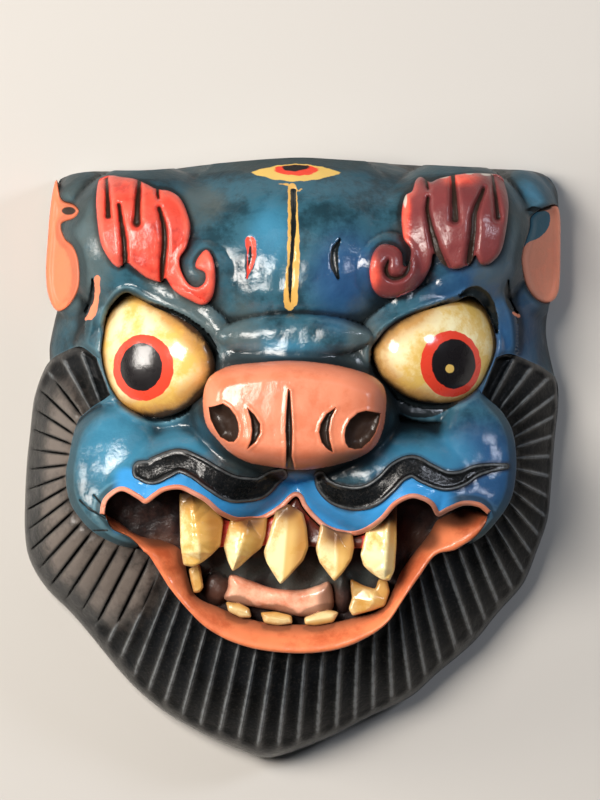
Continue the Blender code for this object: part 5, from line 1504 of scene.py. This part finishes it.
class CarveBeard(bpy.types.Operator):
    """Carve the ribbed beard that frames the jaw"""

    bl_idname = "dragon_mask.carve_beard"
    bl_label = "Beard"
    columns_per_rib = 14
    rows = 58
    crowded = 1.5  # rows stand closer together towards the outer edge
    under = (0.0, 0.3, 0.6, 0.85, 1.0)
    begins = (0.035, 0.1)  # the flutes begin unevenly: between these shares of the beard's width
    strengths = (0.8, 1.1)
    thins = (0.45, 0.88)  # by how much the flutes get shallower inwards, and from where on
    rounded = (0.35, 0.6)  # from where to where the sheen's patches have round-topped ribs
    shapes = (0.85, 0.3)  # how full a flute's hollow and a round rib's top are
    crest_half, groove_half, dull_half = 0.13, 0.17, 0.2  # in ribs
    sheen_rim = (2.0, 17.0)
    hollow_least = 0.12  # the share of a section that is open at the back at least

    def execute(self, context):
        depth = mask_sizes().rib_depth / MM
        sections = RIB_COUNT * self.columns_per_rib
        inner, outer = in_parts(BEARD_INNER, sections), in_parts(BEARD_OUTER, sections)
        turn = np.sin(np.linspace(0, 2 * np.pi, sections + 1))
        marks = np.arange(sections + 1) - RIB_TURN * sections * np.sign(turn) * np.abs(turn) ** 1.5
        inner = np.column_stack([np.interp(marks, np.arange(sections + 1), inner[:, k]) for k in range(2)])
        share = np.linspace(0, 1, self.rows) ** self.crowded
        spread = np.random.default_rng(7)
        starts = spread.uniform(*self.begins, RIB_COUNT + 2)
        strong = spread.uniform(*self.strengths, RIB_COUNT + 2)
        less, inwards = self.thins
        hollow_full, round_full = self.shapes
        size = self.rows + len(self.under) + 1
        verts, crest, groove, dull = [], [], [], []
        for i, (near, far) in enumerate(zip(inner, outer)):
            rib = i / self.columns_per_rib
            k = int(rib)
            part = rib - k
            aside = min(part, 1 - part)
            row = far + (near - far) * share[:, None]
            fade = smooth_step(share, starts[k] * 0.4, starts[k] + 0.1) * (1 - less * smooth_step(share, inwards, 1.0))
            round_rib = smooth_step(patch_weight(row, "sheen"), *self.rounded)
            arch = 4 * part * (1 - part)
            flute, roll = arch**hollow_full, 1 - arch**round_full
            cut = depth * strong[k] * ((1 - round_rib) * flute + round_rib * roll) * fade
            height = pillow(row) - np.where(fade > 0, cut, 0)
            steps = near + (far - near) * np.linspace(0, 1, 201)[:, None]
            open_to = max(np.mean(hollow_reach(steps) < 1), self.hollow_least)
            low = near + (far - near) * open_to * np.array(self.under)[:, None]
            verts += [np.column_stack([row, height]), np.column_stack([low[:-1], hollow_height(low[:-1])]),
                      np.array([[*low[-1], 0.0], [*far, 0.0]])]
            behind = np.zeros(size - self.rows)
            crest += [np.exp(-(aside / self.crest_half) ** 2) * fade * (1 - round_rib), behind]
            # groove: where painted shadow lines follow the cuts between the round ribs
            groove += [np.exp(-(aside / self.groove_half) ** 2) * fade * round_rib, behind]
            dull += [(1 - 0.9 * np.exp(-(aside / self.dull_half) ** 2)) * fade * (1 - round_rib), behind]
        last = sections * size
        fronts, backs = [], []
        for start in range(0, last, size):
            for k in range(size):
                a, b = start + k, start + (k + 1) % size
                face = (a, a + size, b + size, b)
                (fronts if k < self.rows - 1 or k == size - 1 else backs).append(face)
        ends = [tuple(range(size)), tuple(range(last, last + size))[::-1]]
        verts = np.vstack(verts)
        piece = new_piece("beard_carving", verts, fronts + ends + backs, ("beard", "wood"), len(fronts) + 2)
        flat = verts[:, :2]
        rim_fade = smooth_step(distance_to(flat, outer[::7])[0], *self.sheen_rim)
        # the painted sheen fades out towards the beard's outer edge
        mark(piece, {"relief": 0.4 * map_value(flat, 0), "crest": np.concatenate(crest),
                     "groove": np.concatenate(groove), "sheen": patch_weight(flat, "sheen") * rim_fade,
                     "slope": 0.4 * map_value(flat, 2) + 1.5 * np.concatenate(dull)})
        put_in_place(piece, "beard_ruff")
        return {"FINISHED"}


class CarveBrows(bpy.types.Operator):
    """Carve the two flame brows in rounded locks"""

    bl_idname = "dragon_mask.carve_brows"
    bl_label = "Brows"
    sides = (-1.2, -0.6, 0.6, 1.2)  # rows of points along a cut
    cut_step = 0.7
    painted_share = 0.75  # how much of a cut's width is painted dark
    cut_shade = 1.6

    def execute(self, context):
        for name, _, cuts in BROWS:
            outline, top = raised_pieces()[name]

            def marks(points):
                found = common_marks(points, outline)
                found["cut"] = np.full(len(points), FAR)
                for line in cuts:
                    away, half = distance_to(points, curve_through(line, LINE_STEP))
                    found["cut"] = np.minimum(found["cut"], away - half * self.painted_share)
                shade_cuts(found, self.cut_shade)
                # maroon: painted shade over the right brow, kept off its lit lock edges
                found["maroon"] = (name == "brow_right") * (1 - 0.9 * patch_weight(points, "lit_lock_edges"))
                found["chip"] = patch_weight(points, "chip")
                return found

            features = []
            for line in cuts:
                middle = curve_through(line, self.cut_step)[:, :2]
                features += [middle] + [moved_aside(middle, side) for side in self.sides]
            carve(name + "_carving", name, "red", outline, top, plane(0, 0, BROW_SEAT_Z),
                  points_over(outline, "brow", features), marks)
        return {"FINISHED"}


class CarveEyes(bpy.types.Operator):
    """Carve the bulging eyes and paint the iris and pupil"""

    bl_idname = "dragon_mask.carve_eyes"
    bl_label = "Eyes"
    gleam = (88.0, 50.4, 2.5, 2.5)  # the painted dot in the right pupil: x, y, half width, half height
    inwards = (0.95, -0.3, 30)  # the way to the nose, which is also a little down, and over how long a way
    # Amber and dark grime towards the inner corner, partly as painted shade: how fast they fade from the edge,
    # how much is all round, from where to where they grow towards the nose, and how strong they are in each eye
    edge_darkening = (("amber", 8, 0.35, (-0.6, 0.5), {"eye_left": 1.5, "eye_right": 1.05}),
              ("eye_grime_and_shade", 3.6, 0.2, (-0.4, 0.6), {"eye_left": 1.4, "eye_right": 0.75}))

    def execute(self, context):
        for row, painted in zip(EYES, IRISES):
            eye, iris = dict(zip(EYE_COLUMNS, row)), dict(zip(IRIS_COLUMNS, painted))
            name = eye["name"]
            outline, top = raised_pieces()[name]

            def marks(points):
                found = common_marks(points, outline)
                for tint, part in (("iris", "ring"), ("pupil", "pupil")):
                    numbers = (iris[part + key] for key in ("_x", "_y", "_half_x", "_half_y"))
                    found[tint] = oval_gap(points, *numbers)
                found["dot"] = oval_gap(points, *self.gleam) if name == "eye_right" else np.full(len(points), FAR)
                side = math.copysign(1, -eye["x"])
                way_x, way_y, length = self.inwards
                inward = ((points[:, 0] - eye["x"]) * side * way_x + (points[:, 1] - eye["y"]) * way_y) / length
                for tint, fall, least, grows, strength in self.edge_darkening:
                    found[tint] = np.exp(-found["edge"] / fall) * (least + (1 - least) * smooth_step(inward, *grows))
                    found[tint] *= strength[name]
                return found

            carve(name + "_carving", name, "eye", outline, top,
                  plane(eye["x"], eye["y"], EYE_SEAT_Z, eye["lean"]), points_over(outline, "eye"), marks)
        return {"FINISHED"}


class CarveNose(bpy.types.Operator):
    """Carve the snout's front with its nostrils and cuts"""

    bl_idname = "dragon_mask.carve_nose"
    bl_label = "Nose"
    round_holes = (-1.7, -0.9, -0.15, 0.15, 0.7, 1.4)  # rows of points along a hole's edge
    hole_step = 0.8
    cut_shade = 1.2

    def execute(self, context):
        outline, top = raised_pieces()["nose_pad"]

        def marks(points):
            found = common_marks(points, outline)
            found["cut"] = np.min([outside_gap(points, corners) for _, _, corners in NOSE_HOLES], axis=0)
            shade_cuts(found, self.cut_shade)
            # brown and deep: painted shade at the nose's lower right and over its right side
            for tint in ("brown", "deep"):
                found[tint] = patch_weight(points, tint)
            return found

        features = []
        for _, _, corners in NOSE_HOLES:
            hole = anticlockwise(sides_of(corners, self.hole_step))
            features += [moved_in(hole, gap) for gap in self.round_holes]
        carve("nose_carving", "nose_pad", "nose", outline, top, plane(0, 0, NOSE_SEAT_Z),
              points_over(outline, "nose", features), marks)
        return {"FINISHED"}


class CarveWhiskers(bpy.types.Operator):
    """Carve the two curling whiskers as channelled bands"""

    bl_idname = "dragon_mask.carve_whiskers"
    bl_label = "Whiskers"
    crest = (1.2, 0.8)  # how far in the rubbed edge is, and how wide

    def execute(self, context):
        for name, _ in WHISKERS:
            outline, top = raised_pieces()[name]

            def marks(points):
                found = common_marks(points, outline)
                found["crest"] = np.exp(-((found["edge"] - self.crest[0]) / self.crest[1]) ** 2)
                return found

            carve(name + "_carving", name, "whisker", outline, top, plane(0, 0, WHISKER_SEAT_Z),
                  points_over(outline, "whisker"), marks)
        return {"FINISHED"}


class CarveEars(bpy.types.Operator):
    """Carve the two leaf-shaped ears"""

    bl_idname = "dragon_mask.carve_ears"
    bl_label = "Ears"
    notches = {"ear_left": (-126.0, 139.4, 4.2, 2.2), "ear_right": (137.0, 142.0, 9.0, 3.2)}

    def execute(self, context):
        for name, notch in self.notches.items():
            outline, top = raised_pieces()[name]

            def marks(points):
                found = common_marks(points, outline)
                found["cut"] = oval_gap(points, *notch)
                found["pale"] = np.full(len(points), float(name == "ear_right"))
                fold = curve_through(EAR_FOLD, LINE_STEP, True)
                found["fold"] = smooth_step(-outside_gap(points, fold), -0.4, 0.4)
                return found

            carve(name + "_carving", name, "ear", outline, top, plane(0, 0, EAR_SEAT_Z),
                  points_over(outline, "ear"), marks)
        return {"FINISHED"}


class CarveMouth(bpy.types.Operator):
    """Carve the lower lip, the lip line, the gum, the tongue and the back of the mouth"""

    bl_idname = "dragon_mask.carve_mouth"
    bl_label = "Mouth"
    seat_gap = 0.3

    def execute(self, context):
        shared = form()
        outer, inner = shared["lip outer"], shared["gum edge"]
        tongue = outline_of(TONGUE, "tongue")
        lip = curve_through(UPPER_LIP, cut_of("lip edge")["step"])
        rise = mask_sizes().lip_edge_rise / MM

        def behind(points):
            return mouth_wall(points) + self.seat_gap

        def back_wall(points):
            z = mouth_wall(points) + hand_cut(points, cut_of("lining")["uneven"])
            for x, y, half_x, half_y, height in MOLARS:
                far = oval(points, x, y, half_x, half_y)
                z += height * np.clip(1 - far**1.5, 0, 1) ** 0.5
            return z

        def marks_of(outline, **fixed):
            def marks(points):
                found = common_marks(points, outline)
                found["cut"] = np.full(len(points), FAR)
                # inward: how far in towards the teeth, for the lower lip's painted shade
                found["inward"] = across_lip(points, outer, inner)[1]
                # gap and brown carry painted shade between the teeth and on the tongue, with grime
                for tint in ("slate", "brown", "gap"):
                    found[tint] = patch_weight(points, tint)
                found.update({name: np.full(len(points), value) for name, value in fixed.items()})
                return found
            return marks

        outline = shared["lower lip"]
        carve("lower_lip_carving", "lower_lip", "lip", outline,
              lambda p: lower_lip_top(p, outer, inner), behind, points_over(outline, "lower lip"), marks_of(outline))
        outline = shared["lip edge"]
        carve("lip_line_carving", "upper_lip_edge", "lip edge", outline,
              lambda p: lip_edge_top(p, lip, LIP_EDGE_WIDTH, rise), lambda p: face_height(p) - LIP_EDGE_DEPTH,
              points_over(outline, "lip edge"), marks_of(outline), np.empty((0, 2)))
        gum = shared["gum"]
        carve("gum_carving", "upper_gum", "red", gum, lambda p: gum_top(p, gum), behind,
              points_over(gum, "gum"), marks_of(gum, relief=0.0))
        carve("tongue_carving", "tongue", "tongue", tongue, lambda p: tongue_top(p, tongue), behind,
              points_over(tongue, "tongue"), marks_of(tongue, inward=0.0))
        lining = shared["lining"]
        carve("mouth_wall_carving", "mouth_lining", "mouth", lining, back_wall, hollow_height,
              points_over(lining, "lining"), marks_of(lining), hollow_points(lining), "wood")
        return {"FINISHED"}


class CutTeeth(bpy.types.Operator):
    """Cut each tooth from a block: drawn, pushed up, chamfered and ridged"""

    bl_idname = "dragon_mask.cut_teeth"
    bl_label = "Teeth"
    chamfers = ((0.5, 0.9), (0.8, 0.7))  # how far in and how far up each step of the rounded edge goes
    on_ridge = 0.02  # how far from the ridge's line a point still counts as on it
    flat_edge = 1.25  # how close to the outline the ridge isn't lifted
    ridge_fall = (1.2, 2.6)  # from how far in the ridge rises, and how slowly
    ridge_cuts = 6
    front_tilt = 0.15  # faces that look up more than this belong to the crown
    outline_step = 1.3
    root_above = 9  # the height above its straight wall at which a lower tooth's grime and painted shade end
    side_tone = 6.0  # over how many millimetres a tooth gets yellower to its right, as painted shade

    def execute(self, context):
        for row in TEETH:
            tooth = dict(zip(TOOTH_COLUMNS, row))
            outline = anticlockwise(sides_of(tooth["outline"], self.outline_step))
            outline = (np.roll(outline, 1, axis=0) + 2 * outline + np.roll(outline, -1, axis=0)) / 4
            put_in_place(self.cut(tooth, outline), tooth["name"])
        return {"FINISHED"}

    def cut(self, tooth, outline):
        """The outline is drawn as a flat face, pushed up, stepped in twice to round its edge, split along the ridge
        and lifted there.
        """
        bpy.ops.object.select_all(action="DESELECT")
        bpy.ops.mesh.primitive_circle_add(vertices=len(outline), radius=0.01, fill_type="NGON")
        piece = bpy.context.active_object
        piece.name = tooth["name"] + "_cut"
        flat = np.column_stack([outline, np.full(len(outline), tooth["foot_z"])]) * MM
        piece.data.vertices.foreach_set("co", flat.ravel())
        piece.data.update()
        bpy.ops.object.mode_set(mode="EDIT")
        bpy.ops.mesh.select_mode(type="FACE")
        bpy.ops.mesh.select_all(action="SELECT")
        bpy.ops.mesh.extrude_region_move(TRANSFORM_OT_translate={"value": (0, 0, tooth["wall"] * MM)})
        for inwards, up in self.chamfers:
            bpy.ops.mesh.inset(thickness=inwards * MM, depth=up * MM)
        start, end = (np.array(p, float) * MM for p in tooth["ridge"])
        across = Vector((end[1] - start[1], start[0] - end[0], 0)).normalized()
        bpy.ops.mesh.bisect(plane_co=(*start, 0), plane_no=across)
        bpy.ops.object.mode_set(mode="OBJECT")
        mesh = piece.data
        level = (tooth["foot_z"] + tooth["wall"] + sum(up for _, up in self.chamfers)) * MM

        def ridged(p):
            return abs((p - Vector((*start, p.z))).dot(across)) < self.on_ridge * MM and p.z > level - 0.1 * MM

        for edge in mesh.edges:
            a, b = (mesh.vertices[i].co for i in edge.vertices)
            edge.select = ridged(a) and ridged(b) and (a - b).length > 3 * MM
        bpy.ops.object.mode_set(mode="EDIT")
        bpy.ops.mesh.select_mode(type="EDGE")
        bpy.ops.object.mode_set(mode="OBJECT")
        bpy.ops.object.mode_set(mode="EDIT")
        bpy.ops.mesh.subdivide(number_cuts=self.ridge_cuts)
        bpy.ops.object.mode_set(mode="OBJECT")
        begins, fall = self.ridge_fall
        for vertex in mesh.vertices:
            gap = min(np.hypot(*(outline * MM - np.array(vertex.co[:2])).T)) / MM
            if ridged(vertex.co) and gap > self.flat_edge:
                vertex.co.z += tooth["rise"] * MM * (1 - math.exp(-(gap - begins) / fall))
        self.soften(piece)
        piece.data.materials.append(paints()["tooth"])
        points = np.array([v.co for v in piece.data.vertices]) / MM
        flat, height = points[:, :2], points[:, 2]
        top = tooth["ridge"][0]
        root = np.hypot(flat[:, 0] - top[0], flat[:, 1] - top[1])
        if "lower" in tooth["name"]:
            root = height - tooth["foot_z"] - tooth["wall"] + self.root_above
        right = (flat - np.array(top)) @ np.array(across[:2]) * math.copysign(1, across[0])
        # root and right carry the painted shade towards the gum and on the right faces
        mark(piece, {"relief": np.zeros(len(flat)), "root": root, "right": right / self.side_tone,
                     "slope": 1.6 * smooth_step(-root, -10, -5), "edge": edge_gap(flat, outline)})
        return piece

    def soften(self, piece):
        """Divides the crown finely and rounds its edges a little, as thick paint does."""
        bpy.ops.object.mode_set(mode="EDIT")
        bpy.ops.mesh.select_mode(type="FACE")
        bpy.ops.mesh.select_all(action="DESELECT")
        bpy.ops.object.mode_set(mode="OBJECT")
        for face in piece.data.polygons:
            face.select = face.normal.z > self.front_tilt
        bpy.ops.object.mode_set(mode="EDIT")
        bpy.ops.mesh.quads_convert_to_tris(ngon_method="BEAUTY")
        for cuts in (2, 1):
            bpy.ops.mesh.subdivide(number_cuts=cuts)
        bpy.ops.mesh.select_less()
        bpy.ops.mesh.vertices_smooth(factor=0.5, repeat=3)
        bpy.ops.object.mode_set(mode="OBJECT")


class SetStage(bpy.types.Operator):
    """Set the floor, the soft lights and the camera"""

    bl_idname = "dragon_mask.set_stage"
    bl_label = "Stage"

    def execute(self, context):
        bpy.ops.object.select_all(action="DESELECT")
        bpy.ops.mesh.primitive_plane_add(size=2 * FLOOR_HALF, location=(0, 0, -FLOOR_DROP))
        floor = bpy.context.active_object
        floor.name = "studio_floor"
        floor.data.materials.append(floor_paper())
        for name, place, width, height, watts, colour in LIGHTS:
            bpy.ops.object.light_add(type="AREA", location=place)
            light = bpy.context.active_object
            light.name = name
            light.data.shape = "RECTANGLE"
            light.data.size = width
            light.data.size_y = height
            light.data.energy = watts
            light.data.color = linear(colour)
            light.rotation_euler = (Vector(LIGHT_TARGET) - Vector(place)).to_track_quat("-Z", "Y").to_euler()
        bpy.ops.object.camera_add(location=(CAMERA_X, CAMERA_Y, CAMERA_HEIGHT), rotation=(0, 0, 0))
        camera = bpy.context.active_object
        camera.name = "photo_camera"
        camera.data.sensor_fit = "AUTO"
        camera.data.sensor_width = SENSOR
        camera.data.lens = SENSOR * (CAMERA_HEIGHT - CAMERA_LEVEL) / FRAME_HEIGHT
        camera.data.clip_end = 100.0
        context.scene.camera = camera
        world = context.scene.world or bpy.data.worlds.new("studio")
        context.scene.world = world
        world.use_nodes = True
        backdrop = world.node_tree.nodes.get("Background")
        backdrop.inputs["Color"].default_value = (*linear(BACKDROP_COLOUR), 1.0)
        backdrop.inputs["Strength"].default_value = BACKDROP_STRENGTH
        context.scene.view_settings.view_transform = "Standard"
        return {"FINISHED"}


class MaskPanel(bpy.types.Panel):
    """The mask's pieces, sizes and paints"""

    bl_idname = "VIEW3D_PT_dragon_mask"
    bl_label = "Dragon Mask"
    bl_space_type = "VIEW_3D"
    bl_region_type = "UI"
    bl_category = "Dragon Mask"

    def draw(self, context):
        column = self.layout.column()
        for operator in OPERATORS:
            column.operator(operator.bl_idname)
        for group in (context.scene.dragon_mask_sizes, context.scene.dragon_mask_colours):
            box = self.layout.box()
            for name in group.__annotations__:
                box.prop(group, name)


OPERATORS = (CarveHead, CarveBeard, CarveBrows, CarveEyes, CarveNose, CarveWhiskers, CarveEars, CarveMouth, CutTeeth,
             SetStage)
CLASSES = (MaskColours, MaskSizes, *OPERATORS, MaskPanel)


def register():
    for item in CLASSES:
        bpy.utils.register_class(item)
    bpy.types.Scene.dragon_mask_colours = bpy.props.PointerProperty(type=MaskColours)
    bpy.types.Scene.dragon_mask_sizes = bpy.props.PointerProperty(type=MaskSizes)


def unregister():
    del bpy.types.Scene.dragon_mask_sizes
    del bpy.types.Scene.dragon_mask_colours
    for item in reversed(CLASSES):
        bpy.utils.unregister_class(item)


def main():
    register()
    for operator in OPERATORS:
        group, name = operator.bl_idname.split(".")
        result = getattr(getattr(bpy.ops, group), name)()
        if result != {"FINISHED"}:
            raise RuntimeError(f"{operator.bl_label} didn't finish")


if __name__ == "__main__":
    main()
